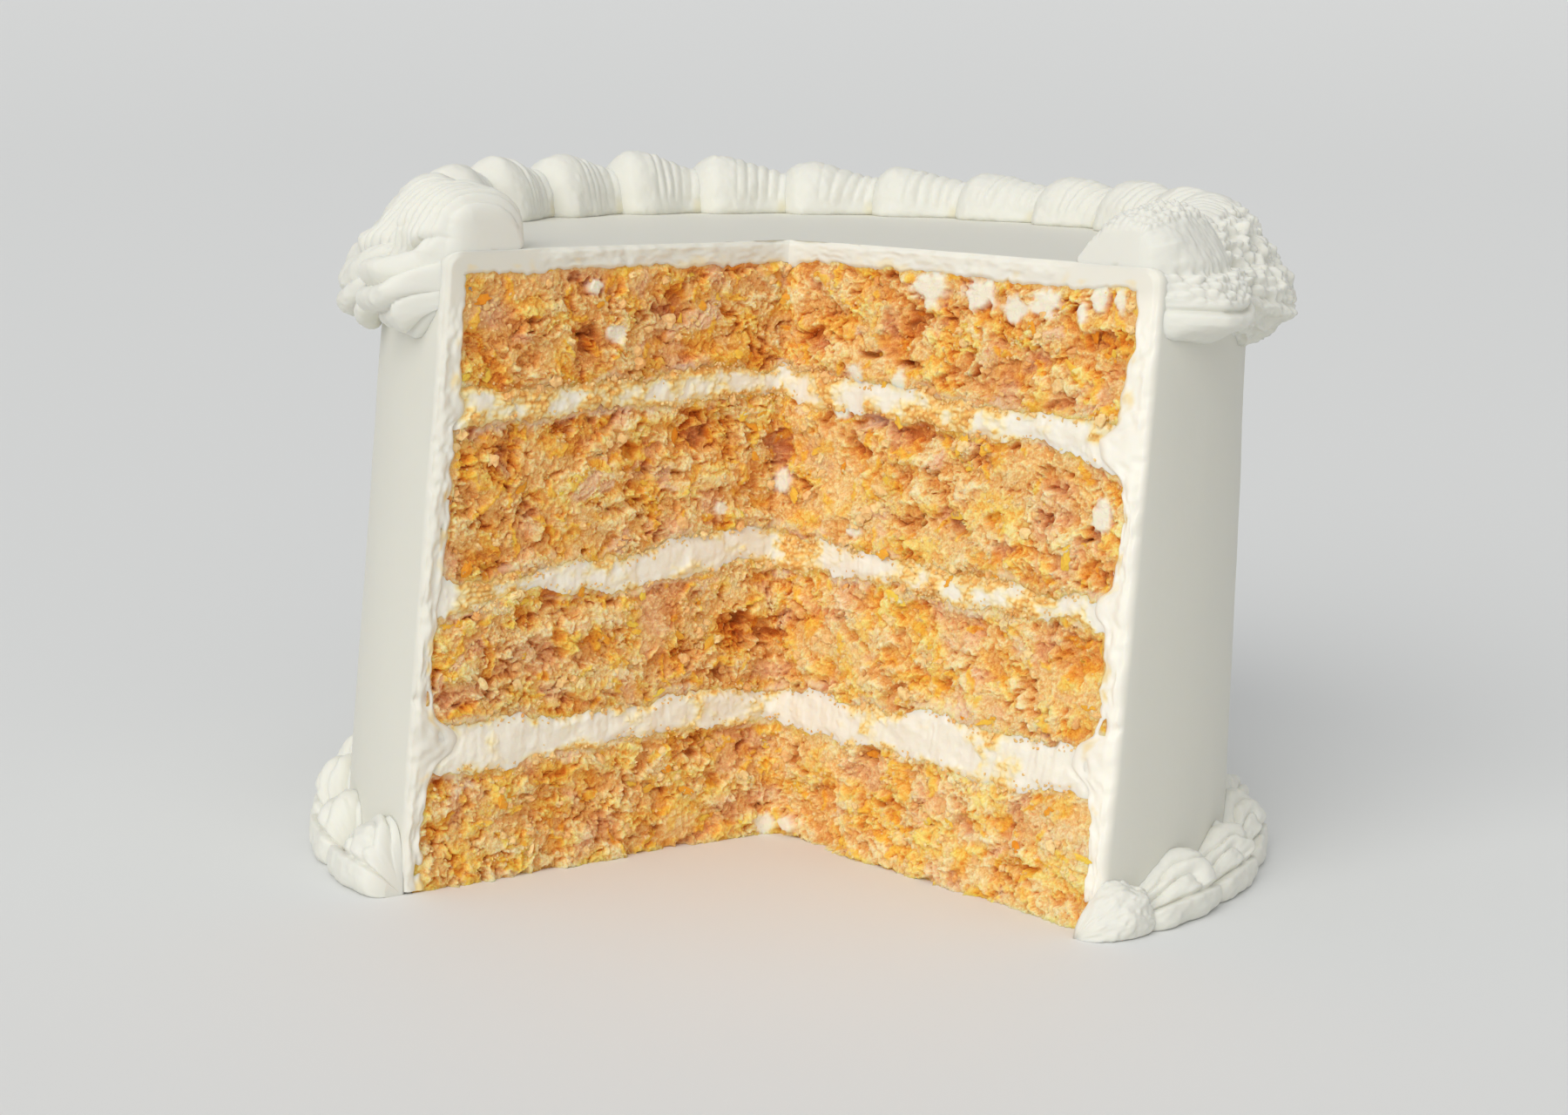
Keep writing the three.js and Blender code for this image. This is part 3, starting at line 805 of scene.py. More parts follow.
def icingShape(column, row):
    cap, skin, inside = icing["cap"], icing["skin"], icing["inside"]
    wallRows, rimRows, topRows = icing["wallRows"], icing["rimRows"], icing["topRows"]
    rise = np.clip(row / wallRows, 0, 1)
    bend = np.clip((row - wallRows) / rimRows, 0, 1) * math.pi / 2
    toLine = np.clip((row - wallRows - rimRows) / topRows, 0, 1)
    across = np.clip(column / cap, 0, 1) - np.clip((column - cap - skin) / cap, 0, 1)
    turn = np.clip((column - cap) / skin, 0, 1) - np.clip((column - 2 * cap - skin) / inside, 0, 1)
    onCap = (column <= cap) | ((column >= cap + skin) & (column <= 2 * cap + skin))
    side = np.where(turn < 0.5, 1.0, -1.0)
    edge = icing["rim"]
    outerHeight = mix(drum["foot"], drum["top"] - edge, rise) + edge * np.sin(bend)
    outerDepth = edge * (1 - np.cos(bend))
    innerHeight = mix(drum["foot"], drum["spongeTop"] + 0.3, rise)
    length = faceLength(side, innerHeight)
    corner = topEdge(side, length - drum["coat"])
    innerHeight = np.where(onCap, np.minimum(innerHeight, corner), innerHeight)
    innerDepth = np.where(onCap, coatEdge(side, innerHeight), drum["coat"] - 0.3)
    onTop = onCap & (rise >= 1)
    innerHeight = np.where(onTop, topEdge(side, (length - innerDepth) * (1 - toLine)), innerHeight)
    depth = mix(innerDepth, outerDepth, across)
    height = mix(innerHeight, outerHeight, across)
    around = turn * icing["girth"]
    travel = rise * icing["tall"] + bend * 2 + toLine * icing["over"]
    swell = icing["swell"] * clouds(around / 30, travel / 26, 73)
    swell = swell + icing["brushed"] * cloud(around / 2.2, travel / 40, 74)
    depth = depth - np.where((across > 0.99) & ~onCap, swell * (1 - toLine), 0)
    spots = place(turn, depth, height)
    line = cutLineAt(height)
    spots[:, :2] = mix(spots[:, :2], line, toLine[:, None])
    lift = icing["topSwell"] * toLine * clouds(spots[:, 0] / 25, spots[:, 1] / 25, 75)
    spots[:, 2] += np.where(across > 0.99, lift, 0)
    # on the cuts the coat is dragged by the knife and stands a little proud of the layers
    along = side * np.linalg.norm(spots[:, :2] - line, axis=-1)
    plan, facing = faceAt(along, height)
    ripple = icing["ripple"] * cloud(across * 3.4, travel / 2.6, 76)
    ripple += icing["fineRipple"] * cloud(across * 7, travel / 1.1, 77)
    ripple += icing["proud"] - icing["gouge"] * ease(cloud(across * 2.4, travel / 3.4, 78), 0.55, 0.85)
    ripple = ripple * np.where(onTop, 0.6, 1.0)
    underSwirl = ease(rise, 0.9, 0.97) * (1 - ease(toLine * length, 12, 18))
    ripple = mix(ripple, icing["calm"], underSwirl)
    ripple = mix(icing["innerEdge"], ripple, ease(across, 0, 0.25)) * ease(along * side, 0, 4)
    ripple -= icing["bevel"] * ease(across, 0.8, 1.0) * (1 - underSwirl * ease(bend, 0.8, 1.5))
    spots[:, :2] = np.where(onCap[:, None], plan + facing * ripple[:, None], spots[:, :2])
    smear = clouds(across * 2.2, travel / 3.0, 79)
    stainAndShade = onCap * ease(1.3 * smear + 0.55 - 1.5 * across, 0.15, 0.9) * np.where(onTop, 0.5, 1.0)
    # The coat's cut faces get a whiter tone, partly the fresh cut and partly painted light: fully on the
    # right cut, which faces the light, a quarter as much on the shaded left cut, and less near the top
    slicedAndLit = onCap * (1.0 - 0.6 * ease(rise, 0.96, 1.0)) * np.where(side > 0, 1.0, 0.25)
    return spots, {"stainAndShade": stainAndShade, "slicedAndLit": slicedAndLit}


coatColumns = 2 * icing["cap"] + icing["skin"] + icing["inside"]
coatRows = icing["wallRows"] + icing["rimRows"] + icing["topRows"]
coat = sheetPiece("iced_coat", coatColumns, coatRows, "columns", icingShape)
settle(coat, "icing", icingLook, "icing_coat")
print("icing ready")


# Top border: plump piped swirls that slump over the rim, each smooth head over the next one's ridged tail
swirl = {
    "count": 17,
    "along": 90,
    "endRows": 8,
    "pivot": (3.0, 0.5),
    "overlap": 0.15,
    "tailRound": 0.13,
    "ballStart": 0.06,
    "ballRound": 0.24,
    "ridges": 8.4,
    "lump": 0.45,
    "knifeSwell": 0.0005,
    # pairs from here to cornerOver: at the right cut, at the left cut
    "cutOver": (0.55, 0.5),
    "cutCrown": (0.6, 0.5),
    "cutFoot": (1.0, 0.85),
    "reachOver": (0.5, 0.3),
    "cutLip": (0.85, 0.4),
    "lipOver": (0.85, 0.4),
    "lipFrom": -5.0,
    "lipInside": 0.0015,
    "corner": 4.0,
    "cornerOver": (0.25, 0.2),
    "lidPivot": (8.0, -0.4),
    # from the right cut round to the left cut
    "crown": (1.0, 0.98, 1.05, 0.92, 1.02, 1.25, 1.3, 1.12, 1.04),
    "reach": (0.85, 0.94, 0.95, 1.0, 1.0, 1.0, 1.0, 0.95, 0.9),
    "droop": (0.68, 0.86, 0.92, 0.9, 0.88, 0.88, 0.88, 0.84, 0.82),
    "lipBack": (2.4, 2.4, 1.6, 0.4, 0.0, 0.0, 0.0, 0.0, 0.0),
}
# Most swirls are alike; the ones at the cuts and their neighbours have a character of their own
swirlKind = {
    "ridge": 0.55,
    "smoothFrom": 0.5,
    "lobe": 0.8,
    "lobeFrom": 0.42,
    "lobeStep": 0.075,
    "lobeTo": 2.0,
    "torn": 0.35,
    "pebble": 0.0,
    "pebbleFrom": 0.4,
    "pebbles": 13,
    "calm": 0.0,
    "groove": 0.0,
    "tail": 0.72,
    "headAt": 0.76,
    "round": 128,
}
swirlKinds = {
    0: {
        "ridge": 0.0, "lobe": 0.0, "torn": 0.15, "pebble": 0.65, "pebbleFrom": 0.1, "calm": 0.85,
        "groove": 1.3, "headAt": 0.6, "round": 280,
    },
    1: {
        "ridge": 0.7, "smoothFrom": 1.1, "lobe": 0.3, "torn": 1.5, "pebble": 1.25, "pebbleFrom": 0.34,
        "pebbles": 8, "groove": 0.9, "round": 240,
    },
    2: {"ridge": 0.7, "torn": 1.4, "pebble": 1.0, "pebbleFrom": 0.34, "pebbles": 8, "round": 200},
    15: {
        "ridge": 1.4, "smoothFrom": 1.3, "lobe": 1.9, "lobeStep": 0.09, "torn": 0.2, "headAt": 0.5,
        "round": 200,
    },
    16: {
        "ridge": 1.25, "smoothFrom": 1.4, "lobe": 2.4, "lobeFrom": 0.5, "lobeStep": 0.085, "lobeTo": 0.8,
        "torn": 0.15, "tail": 0.98, "headAt": 0.3, "round": 240,
    },
}
# Depth behind the wall and height over the top: inner foot, crown, slumped lip, back inside the coat
swirlLoop = [
    (14.6, 0.0),
    (14.2, 2.8),
    (12.7, 5.6),
    (10.0, 7.9),
    (6.6, 8.8),
    (3.2, 7.7),
    (0.0, 4.5),
    (-3.2, 0.4),
    (-6.2, -4.2),
    (-8.2, -8.8),
    (-7.6, -12.4),
    (-4.8, -15.2),
    (-1.2, -15.9),
    (1.6, -12.0),
    (3.0, -4.0),
    (9.0, -1.4),
]
# The last one is a ball with its folds below
ballLoop = swirlLoop[:]
ballLoop[1:11] = [
    (14.6, 3.2),
    (13.2, 6.3),
    (10.2, 8.5),
    (6.4, 9.0),
    (2.6, 8.3),
    (-0.6, 6.0),
    (-2.8, 2.6),
    (-3.2, -1.0),
    (-7.0, -4.8),
    (-8.4, -9.4),
]
# Where the loop runs, as shares of its round: ridged top, lobed or wrinkled outer side, calm stretch
swirlParts = {
    "top": (0.03, 0.1, 0.4, 0.52),
    "side": (0.4, 0.48, 0.74, 0.8),
    "torn": (0.3, 0.36, 0.74, 0.8),
    "calm": (0.31, 0.35, 0.43, 0.47),
}
swirlLines = {"fold": 0.455, "lip": 0.57, "lipMid": 0.65, "back": (0.78, 0.84)}


def band(s, part):
    start, full, last, end = swirlParts[part]
    return ease(s, start, full) * (1 - ease(s, last, end))


def swirlRelief(t, s, kind, seed):
    lean = t + 0.16 * (s - 0.25)
    wave = lean * swirl["ridges"] + 0.35 * cloud(t * 3, s * 4, seed)
    ridged = ridges(wave, 0.7, 0.62)
    fade = 1 - ease(lean, kind["smoothFrom"], kind["smoothFrom"] + 0.25)
    relief = kind["ridge"] * ridged * fade * band(s, "top") * (1 + 0.5 * cloud(t * 5, s * 5, seed + 1))
    phase = (s - kind["lobeFrom"]) / kind["lobeStep"] + 0.6 * cloud(t * 2.2, s * 4, seed + 2) + 0.4 * t
    lobes = ridges(phase, 0.5, 0.66)
    proud = 0.7 * cloud(t * 2.4, np.floor(phase) * 1.7, seed + 3) * np.abs(np.sin(phase * math.pi))
    before = 1 - ease(t, kind["lobeTo"], kind["lobeTo"] + 0.22)
    relief += kind["lobe"] * (lobes + proud) * band(s, "side") * before
    relief += kind["torn"] * (0.55 - 2 * np.abs(clouds(t * 6, s * 24, seed + 4))) * band(s, "torn")
    near, lift = pebbles(t * kind["pebbles"], s * 3.5 * kind["pebbles"], seed + 5)
    nubbly = ease(s, kind["pebbleFrom"] - 0.04, kind["pebbleFrom"] + 0.02) * (1 - ease(s, 0.53, 0.55))
    nubbly = nubbly * (1 - kind["calm"] * band(s, "calm"))
    relief += kind["pebble"] * (0.8 - 1.6 * near + lift - 0.5) * nubbly
    if kind["groove"]:
        away = ease(t, 0.02, 0.22) if kind["lobe"] == 0 else 1.0
        pleat = 0.6 + 0.6 * np.abs(np.sin(t * 17 + 3 * cloud(t * 9, 0.5, seed + 6)))
        relief -= 0.9 * away * pleat * crease(s, swirlLines["fold"], 0.014)
        relief -= away * kind["groove"] * crease(s, swirlLines["lip"], 0.011)
        relief += 0.8 * away * domed(((s - swirlLines["lipMid"]) / 0.085) ** 2)
    return relief + swirl["lump"] * clouds(t * 4.5, s * 9, seed + 7) + 0.08 * cloud(t * 20, s * 70, seed + 8)


# Near a cut the crown is rounded off and the overhang shrinks into the wall
def roundAtCut(spot, fromCut, which):
    left = 1 - np.clip(fromCut / swirl["cutOver"][which], 0, 1)
    rounded = np.sqrt(1 - left**2)
    lip = mix(swirl["cutLip"][which], 1.0, ease(fromCut, 0, swirl["lipOver"][which]))
    depth, height = spot[:, 0], spot[:, 1]
    reach = ease(fromCut, 0, swirl["reachOver"][which])
    depth = depth * np.where(depth < 0, reach, mix(swirl["cutFoot"][which], 1.0, rounded))
    bend = 1 - np.clip(fromCut / swirl["cornerOver"][which], 0, 1)
    depth = np.where(depth < swirl["corner"], mix(swirl["corner"], depth, np.sqrt(1 - bend**2)), depth)
    height = np.where(height > 0, height * mix(swirl["cutCrown"][which], 1.0, rounded), height)
    lipFrom = swirl["lipFrom"]
    height = np.where(height < lipFrom, mix(lipFrom, height, lip), height)
    return np.stack([depth, height], axis=-1), rounded


def swirlPiece(index):
    rng = random.Random(500 + index)
    kind = {**swirlKind, **swirlKinds.get(index, {})}
    vary = [rng.uniform(0.97, 1.03) for _ in range(3)]
    atRightCut, atLeftCut = index == 0, index == swirl["count"] - 1
    overlap, headAt = swirl["overlap"], kind["headAt"]
    start = 0.0 if atRightCut else swirl["ballStart"] if atLeftCut else -overlap
    rounding = swirl["ballRound"] if atLeftCut else swirl["tailRound"]
    end = 1.0 if atLeftCut else 1 + overlap
    ends, along = swirl["endRows"], swirl["along"]
    pivot = np.array(swirl["pivot"])

    def shape(column, row):
        first = ends if atRightCut else 0
        last = along - ends if atLeftCut else along
        t = mix(start, end, np.clip((column - first) / (last - first), 0, 1))
        lid = np.clip(column / max(first, 1), 0, 1) if atRightCut else np.ones_like(t)
        lid = np.clip((along - column) / ends, 0, 1) if atLeftCut else lid
        lid = 1 - (1 - lid) ** 1.6
        s = row / kind["round"]
        turn = (index + t) / swirl["count"]
        profile = zip(("crown", "reach", "droop"), vary)
        crown, reach, droop = (valueRound(swirl[key], turn) * v for key, v in profile)
        loop = ballLoop if atLeftCut else swirlLoop
        spot = smoothLoop(loop, s)
        step = smoothLoop(loop, s + 0.004) - smoothLoop(loop, s - 0.004)
        outward = unit(np.stack([step[:, 1], -step[:, 0]], axis=-1))
        spot[:, 1] *= np.where(spot[:, 1] > 0, crown, droop)
        spot[:, 0] = np.where(spot[:, 0] < pivot[0], pivot[0] + (spot[:, 0] - pivot[0]) * reach, spot[:, 0])
        spot[:, 0] += valueRound(swirl["lipBack"], turn) * ease(-spot[:, 1], 8.5, 10.5) * (spot[:, 0] < 0)
        dome = np.clip((t - headAt) / (1 + overlap - headAt), 0, 1)
        size = np.ones_like(t) if atRightCut else mix(kind["tail"], 1.0, ease(t, 0, headAt))
        if not atLeftCut:
            size = size * domed(dome**2.6)
        if not atRightCut:
            size = size * np.sqrt(ease(t, start - 0.001, start + rounding))
        behind = ease(s, *swirlLines["back"])
        relief = swirlRelief(t, s, kind, 520 + 20 * index) * (1 - behind)
        relief = relief * size * ease(lid, 0.75, 1.0)
        toCut = 0.0
        if atRightCut or atLeftCut:
            fromCut = 1 - t if atLeftCut else t
            hidden = np.maximum(ease(-spot[:, 1], 1.0, 3.0), behind * (1 - ease(s, 0.95, 1.0)))
            inside = swirl["lipInside"] * (1 - ease(fromCut, 0, 0.1))
            spot, rounded = roundAtCut(spot, fromCut, 1 if atLeftCut else 0)
            relief = relief * mix(0.45, 1.0, rounded)
            toCut = mix(swirl["knifeSwell"] * (1 - lid**2), -inside, hidden * ease(lid, 0, 0.15))
        spot = pivot + (spot - pivot) * size[:, None] + outward * relief[:, None]
        spot = mix(np.array(swirl["lidPivot"]), spot, lid[:, None])
        swell = toCut if atLeftCut else -toCut
        points = place(turn + swell, spot[:, 0], drum["top"] + spot[:, 1])
        # painted shadow pocket at the inner foot where each swirl's tail starts under the one before; none
        # on the first swirl
        pocket = ease(0.14 - np.abs(t - 0.05), 0, 0.1) * ease(-np.abs(s - 0.03), -0.06, 0)
        return points, {"stainAndShade": pocket * (0.0 if atRightCut else 0.7)}

    return sheetPiece(f"swirl_{index + 1:02d}", along, kind["round"], "rows", shape)


for index in range(swirl["count"]):
    settle(swirlPiece(index), "piped_cream", pipedLook, f"top_swirl_{index + 1:02d}")
print("top border ready")


# Base border: a straight lowest rope, then lobes that arch from the tail over a fat head
shell = {
    "count": 19,
    "along": 80,
    "over": 84,
    "hug": 6,
    "tail": 0.5,
    "headAt": 0.72,
    "overlap": 0.1,
    "rope": 27,
    "groove": 1.1,
    "ropeDip": 1.1,
    "undercut": 1.4,
    "lump": 0.45,
    "inWall": 0.4,
    "reach": (7.8, 8.0, 8.0, 7.8, 7.4, 6.9),
    "height": (9.4, 9.4, 10.0, 11.0, 12.2, 11.4),
    "dabStart": -0.012,
    "dabEnd": 0.0215,
    "dabReach": 6.6,
    "dabHeight": 8.0,
    "dabLump": 1.8,
}


def shellPiece(name, first, last, seed, reach, height, isDab):
    over, hug, rope = shell["over"], shell["hug"], shell["rope"]
    rng = random.Random(seed)
    arches = rng.uniform(2.3, 3.0)
    middle = rng.uniform(0.36, 0.48)

    def shape(column, row):
        t = column / shell["along"]
        angle = np.clip(row / over, 0, 1) * math.pi / 2
        degrees = np.degrees(angle)
        relief = shell["lump"] * clouds(t * 5, degrees / 22, seed, 2)
        relief = relief + 0.1 * cloud(t * 18, degrees / 5, seed + 1)
        if isDab:
            size = domed((2 * t - 1) ** 2)
            relief = relief * shell["dabLump"]
        else:
            size = mix(shell["tail"], 1.0, ease(t, 0, shell["headAt"]))
            dome = np.clip((t - shell["headAt"]) / (1 - shell["headAt"]), 0, 1)
            size = size * domed(dome**2.4) * np.sqrt(ease(t, -0.001, 0.1))
            isRope = 1 - ease(degrees, rope - 3, rope + 3)
            straight = np.clip(1 - np.abs(2 * t - 1.04) ** 8, 0, 1) ** 0.5
            size = mix(size, 0.97 * straight, 0.9 * isRope)
            away = np.where(t > middle, (t - middle) / 0.56, t - middle)
            arch = np.hypot(away, (degrees - rope) / 58) + 0.14 * cloud(t * 4, degrees / 18, seed + 2)
            lobes = ridges(arch * arches, 0.55, 0.64)
            relief = relief + shell["groove"] * lobes * (1 - isRope) * ease(size, 0.25, 0.7)
            relief = relief - shell["ropeDip"] * crease(degrees, rope, 3.0) * ease(size, 0.25, 0.7)
        foot = np.clip(1 - degrees / (0.55 * rope), 0, 1)
        relief = relief - shell["undercut"] * (1 - np.sqrt(1 - foot**2)) * size
        bulge = np.maximum(np.cos(angle), 0) ** 0.85, np.maximum(np.sin(angle), 0) ** 0.85
        depth = -(reach * size + relief * ease(size, 0, 0.4)) * bulge[0]
        level = (height * size + relief * ease(size, 0, 0.4)) * bulge[1]
        back = np.clip((row - over) / (hug - 1), 0, 1)
        depth = np.where(row > over, shell["inWall"], depth)
        level = np.where(row > over, height * size * (1 - back), level)
        points = place(mix(first, last, t), depth, np.maximum(level, 0))
        return points, {"stainAndShade": np.zeros_like(t)}

    return sheetPiece(name, shell["along"], over + hug, "rows", shape)


dabLast = shell["dabEnd"] + 0.2 * (shell["dabEnd"] - shell["dabStart"])
dabPiece = shellPiece("dab", shell["dabStart"], dabLast, 600, shell["dabReach"], shell["dabHeight"], True)
settle(dabPiece, "piped_cream", pipedLook, "base_dab")
shellPitch = (1 - shell["dabEnd"]) / shell["count"]
for index in range(shell["count"]):
    rng = random.Random(620 + index)
    last = shell["dabEnd"] + shellPitch * (index + 1)
    first = last - shellPitch * (1 + shell["overlap"])
    reach = valueRound(shell["reach"], last) * rng.uniform(0.93, 1.07)
    height = valueRound(shell["height"], last) * rng.uniform(0.92, 1.08)
    piece = shellPiece(f"shell_{index + 1:02d}", first, last, 640 + 5 * index, reach, height, False)
    settle(piece, "piped_cream", pipedLook, f"base_shell_{index + 1:02d}")
print("base border ready")


# Small bits on the cut faces, joined into one piece of each kind
bits = {
    "crumbs": {"count": 300, "radius": (0.4, 0.8), "detail": 2, "rough": 0.4, "sunk": 0.3},
    "grains": {"count": 6000, "seam": 300, "radius": (0.13, 0.28), "detail": 1, "rough": 0.45, "sunk": 0.15},
    "shreds": {"count": 80, "long": (0.8, 1.9), "wide": (0.35, 0.7), "detail": 2, "rough": 0.35},
}
# Carrot shreds that stand out: along, height, slant in degrees, half length
carrotSpots = [
    (-21.4, 70.0, 64, 2.9), (-27.7, 64.9, 80, 1.5), (-56.0, 51.7, 30, 1.8), (-59.9, 51.4, 70, 1.5),
    (-58.0, 93.7, 10, 1.6), (-50.1, 63.8, 50, 1.4), (21.3, 79.5, 80, 1.8), (60.2, 90.5, 85, 1.8),
    (64.6, 87.6, 60, 1.4), (38.4, 60.3, 20, 2.0), (60.5, 56.3, 75, 2.2), (36.4, 9.4, 30, 1.5),
    (47.4, 28.0, 15, 1.6),
]
bitZone = {"along": (-66, 71), "height": (0.4, 97.5)}


def surfaceAt(along, height):
    plan, facing = faceAt(along, height)
    out = shareOut(along, height)
    push, marks = spongeRelief(along, height)
    cover = np.ones_like(along)
    for level in smeared:
        turn = np.zeros_like(along)
        inside = (height > seamAt(level, out, turn)) & (height < seamAt(level + 1, out, turn))
        onCream, creamMarks = fillingRelief(along, height, level)
        push = np.where(inside, onCream, push)
        cover = np.where(inside, creamMarks["stainAndShade"] ** 2, cover)
    cover = cover * (1 - marks["smear"])
    return plan, facing, push, cover, marks["toneAndShade"]


def faceSpots(rng, count):
    along = rng.uniform(*bitZone["along"], count)
    height = rng.uniform(*bitZone["height"], count)
    side = np.where(along >= 0, 1.0, -1.0)
    shown = faceLength(along, height) - np.abs(along) > coatEdge(side, height) - 0.3
    shown &= height < topEdge(side, np.abs(along)) - 0.2
    return along[shown], height[shown]


def bitsPiece(name, along, height, sink, sizes, slants, tones, kind, seed):
    body = bmesh.new()
    bmesh.ops.create_icosphere(body, subdivisions=kind["detail"], radius=1)
    corners = np.array([v.co[:] for v in body.verts])
    faces = np.array([[v.index for v in f.verts] for f in body.faces])
    body.free()
    rng = np.random.default_rng(seed)
    count = len(along)
    plan, facing, push = surfaceAt(along, height)[:3]
    outward = np.concatenate([facing, np.zeros((count, 1))], axis=1)
    level = np.stack([-facing[:, 1], facing[:, 0], np.zeros(count)], axis=1)
    up = np.tile((0.0, 0.0, 1.0), (count, 1))
    cos, sin = np.cos(slants)[:, None], np.sin(slants)[:, None]
    lengthwise = unit(level * cos + up * sin + outward * rng.uniform(-0.3, 0.3, (count, 1)))
    across = unit(np.cross(outward, lengthwise))
    axes = np.stack([lengthwise, across, np.cross(lengthwise, across)], axis=-1)
    rough = 1 + kind["rough"] * rng.uniform(-1, 1, (count, len(corners), 1))
    points = corners * sizes[:, None, :] * rough
    spots = np.concatenate([plan + facing * (push + sink)[:, None], height[:, None]], axis=1)
    points = np.einsum("nij,nkj->nki", axes, points) + spots[:, None, :]
    points[:, :, 2] = np.maximum(points[:, :, 2], 0.05)
    faces = faces[None] + len(corners) * np.arange(count)[:, None, None]
    mesh = bpy.data.meshes.new(name)
    mesh.from_pydata((points * mm).reshape(-1, 3).tolist(), [], faces.reshape(-1, 3).tolist())
    addMark(mesh, "tone", np.repeat(tones, len(corners)))
    return addObject(name, mesh)


def crumbBits(name, kind, seed):
    rng = np.random.default_rng(seed)
    along, height = faceSpots(rng, 6 * kind["count"])
    cover, toneAndShade = surfaceAt(along, height)[3:]
    chance = cover * ease(clouds(along / 5, height / 4, seed), -0.3, 0.4)
    chance = chance * (0.25 + ease(0.5 - toneAndShade, 0, 0.2))
    kept = np.flatnonzero(rng.uniform(0, 1, len(along)) < chance)
    along, height, toneAndShade = along[kept], height[kept], toneAndShade[kept]
    # fine crumbs also trail along every seam
    for level in range(1, len(seamRows) - 1):
        out = rng.uniform(-0.97, 0.97, kind.get("seam", 0))
        trail = seamAt(level, out, np.zeros_like(out)) + rng.normal(0, 0.6, len(out))
        along = np.concatenate([out * (faceLength(out, trail) - drum["coat"]), along])
        height = np.concatenate([trail, height])
        toneAndShade = np.concatenate([rng.uniform(0.2, 0.6, len(out)), toneAndShade])
    along, height, toneAndShade = along[:kind["count"]], height[:kind["count"]], toneAndShade[:kind["count"]]
    radius = rng.uniform(*kind["radius"], len(along))[:, None]
    sizes = radius * rng.uniform(0.65, 1.5, (len(along), 3))
    # crumbs are darker where the crumb under them is painted darker, so partly painted shade, with a random
    # tone each
    tones = np.clip(0.1 + 0.9 * toneAndShade + rng.uniform(-0.2, 0.2, len(along)), 0, 1)
    slants = rng.uniform(0, math.pi, len(along))
    return bitsPiece(name, along, height, -kind["sunk"] * radius[:, 0], sizes, slants, tones, kind, seed + 1)


def carrotBits(kind, seed):
    rng = np.random.default_rng(seed)
    along, height = faceSpots(rng, 3 * kind["count"])
    cover = surfaceAt(along, height)[3]
    kept = np.flatnonzero(rng.uniform(0.1, 1, len(along)) < cover)[:kind["count"]]
    placed = np.array(carrotSpots)
    along = np.concatenate([placed[:, 0], along[kept]])
    height = np.concatenate([placed[:, 1], height[kept]])
    count = len(along)
    slants = np.concatenate([np.radians(placed[:, 2]), rng.uniform(0, math.pi, count - len(placed))])
    long = np.concatenate([placed[:, 3], rng.uniform(*kind["long"], count - len(placed))])
    wide = rng.uniform(*kind["wide"], count)
    sizes = np.stack([long, wide * (1 + 0.2 * long), 0.45 * wide], axis=1)
    tones = rng.uniform(0, 1, count)
    return bitsPiece("carrot_shreds", along, height, -0.1 * wide, sizes, slants, tones, kind, seed + 1)


settle(crumbBits("loose_crumbs", bits["crumbs"], 700), "sponge", crumbLook)
settle(crumbBits("fine_crumbs", bits["grains"], 710), "sponge", crumbLook)
settle(carrotBits(bits["shreds"], 720), "sponge", carrotLook)
print("bits ready")


# Pale floor, soft light and the photo's camera
studio = {
    "floor": 9.0,  # half width, flat reach and curve beyond it, in metres
    "flat": 2.5,
    "curve": 0.012,
    "squares": 60,
    "floorTone": paint(231, 232, 231),
    "skyTone": (0.95, 0.965, 0.985, 1.0),
    "skyPower": 0.36,
}
# Side that each lamp shines from, spread in degrees, power and tone
lamps = {
    "key": ((-0.40, -0.72, 0.57), 45, 1.52, (1.0, 0.99, 0.97)),
    "fill": ((0.2, -0.85, 0.48), 60, 0.41, (1.0, 0.99, 0.98)),
    "top": ((0.0, 0.1, 1.0), 60, 0.45, (1.0, 1.0, 1.0)),
}


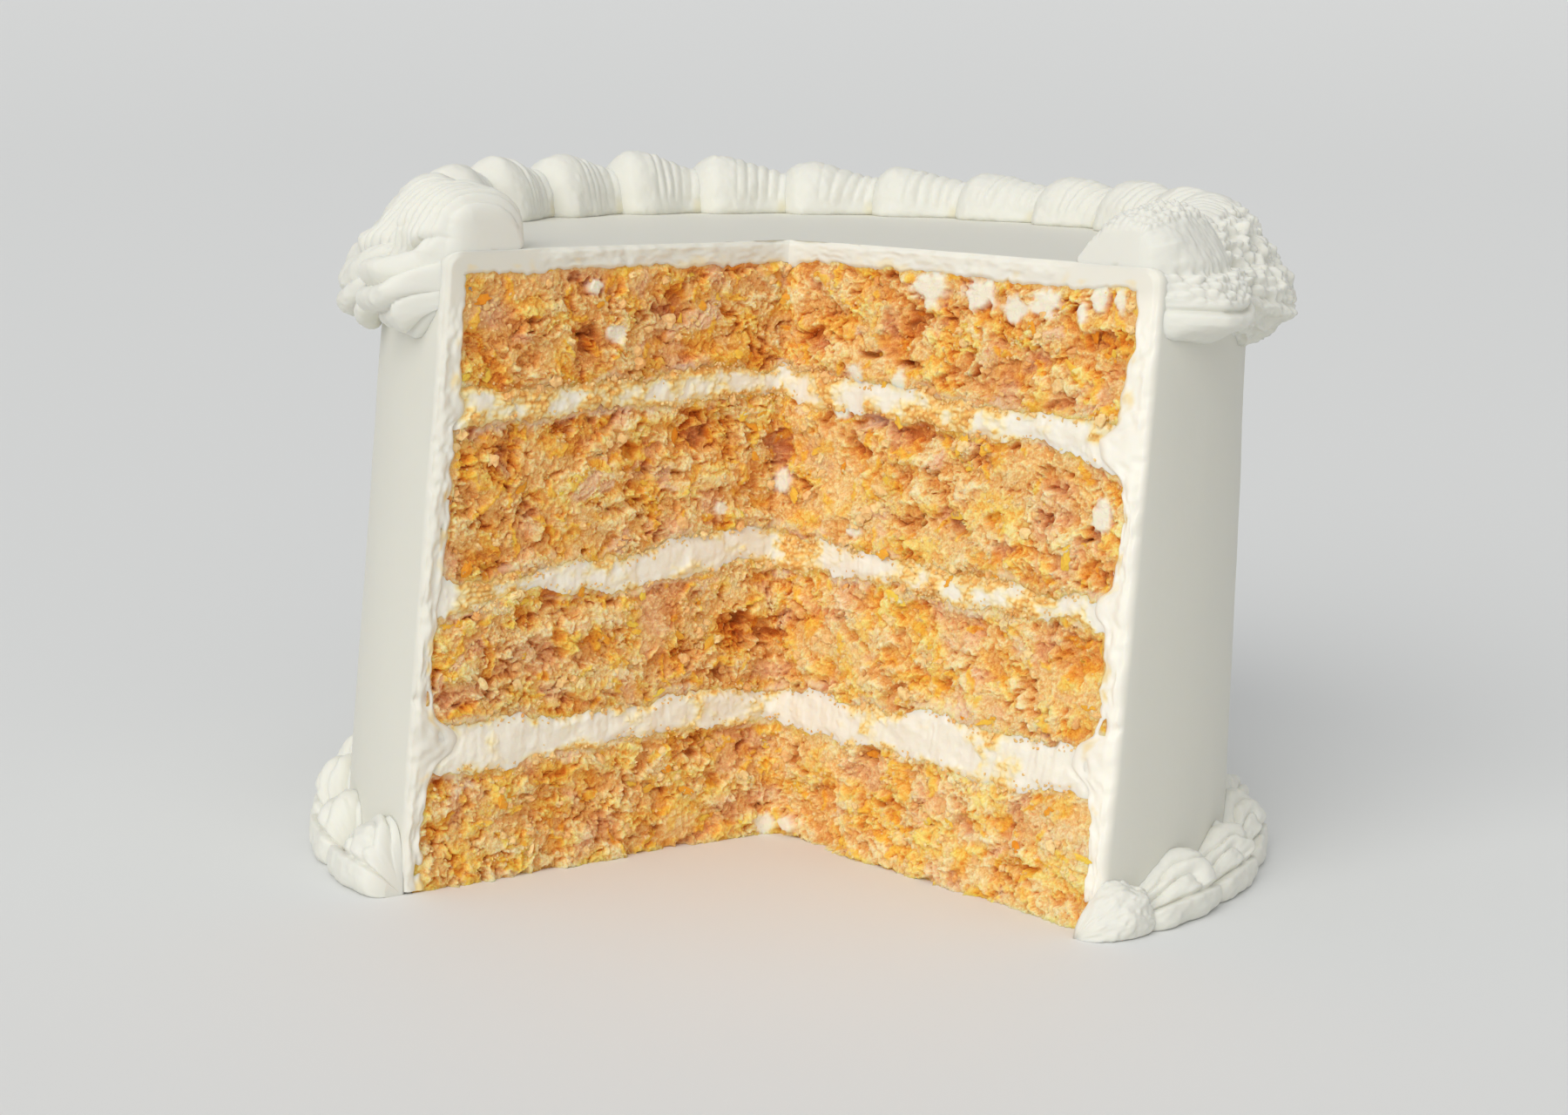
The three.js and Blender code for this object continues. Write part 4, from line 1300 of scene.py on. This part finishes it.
def makeFloor():
    body = bmesh.new()
    squares = studio["squares"]
    bmesh.ops.create_grid(body, x_segments=squares, y_segments=squares, size=studio["floor"])
    for corner in body.verts:
        beyond = max(corner.co.length - studio["flat"], 0)
        corner.co.z = studio["curve"] * beyond**2
    for face in body.faces:
        face.smooth = True
    mesh = bpy.data.meshes.new("floor")
    body.to_mesh(mesh)
    body.free()
    floor = addObject("floor", mesh)
    material, _, shader = newMaterial("pale floor", 0.7, 0.0, (1, 1, 1))
    shader.inputs["Base Color"].default_value = studio["floorTone"]
    mesh.materials.append(material)


def addLamp(name, spot, spread, power, tone):
    lamp = bpy.data.lights.new(name, "SUN")
    lamp.angle = math.radians(spread)
    lamp.energy = power
    lamp.color = tone
    holder = addObject(name, lamp)
    holder.location = spot
    holder.rotation_euler = (-Vector(spot)).to_track_quat("-Z", "Y").to_euler()


def makeWorld():
    world = bpy.data.worlds.new("studio")
    bpy.context.scene.world = world
    world.use_nodes = True
    sky = world.node_tree.nodes["Background"]
    sky.inputs["Color"].default_value = studio["skyTone"]
    sky.inputs["Strength"].default_value = studio["skyPower"]


# Place in millimetres, angles in degrees, focal length and frame width in pixels
view = {"spot": (-1.03, -492.2, 138.1), "down": 10.46, "roll": 1.07, "focal": 3385.1, "width": 1800}


def makeCamera():
    down, roll = math.radians(view["down"]), math.radians(view["roll"])
    ahead = Vector((0, math.cos(down), -math.sin(down)))
    up = Vector((0, math.sin(down), math.cos(down)))
    side = Vector((1, 0, 0))
    right = side * math.cos(roll) + up * math.sin(roll)
    top = up * math.cos(roll) - side * math.sin(roll)
    camera = bpy.data.cameras.new("camera")
    camera.sensor_width = 36
    camera.lens = view["focal"] / view["width"] * camera.sensor_width
    camera.clip_start = 0.01
    holder = addObject("camera", camera)
    turn = Matrix((right, top, -ahead)).transposed().to_4x4()
    holder.matrix_world = Matrix.Translation(Vector(view["spot"]) * mm) @ turn
    bpy.context.scene.camera = holder


makeFloor()
for name, lamp in lamps.items():
    addLamp(name, *lamp)
makeWorld()
makeCamera()
bpy.context.scene.view_settings.view_transform = "Standard"
print("stage ready")
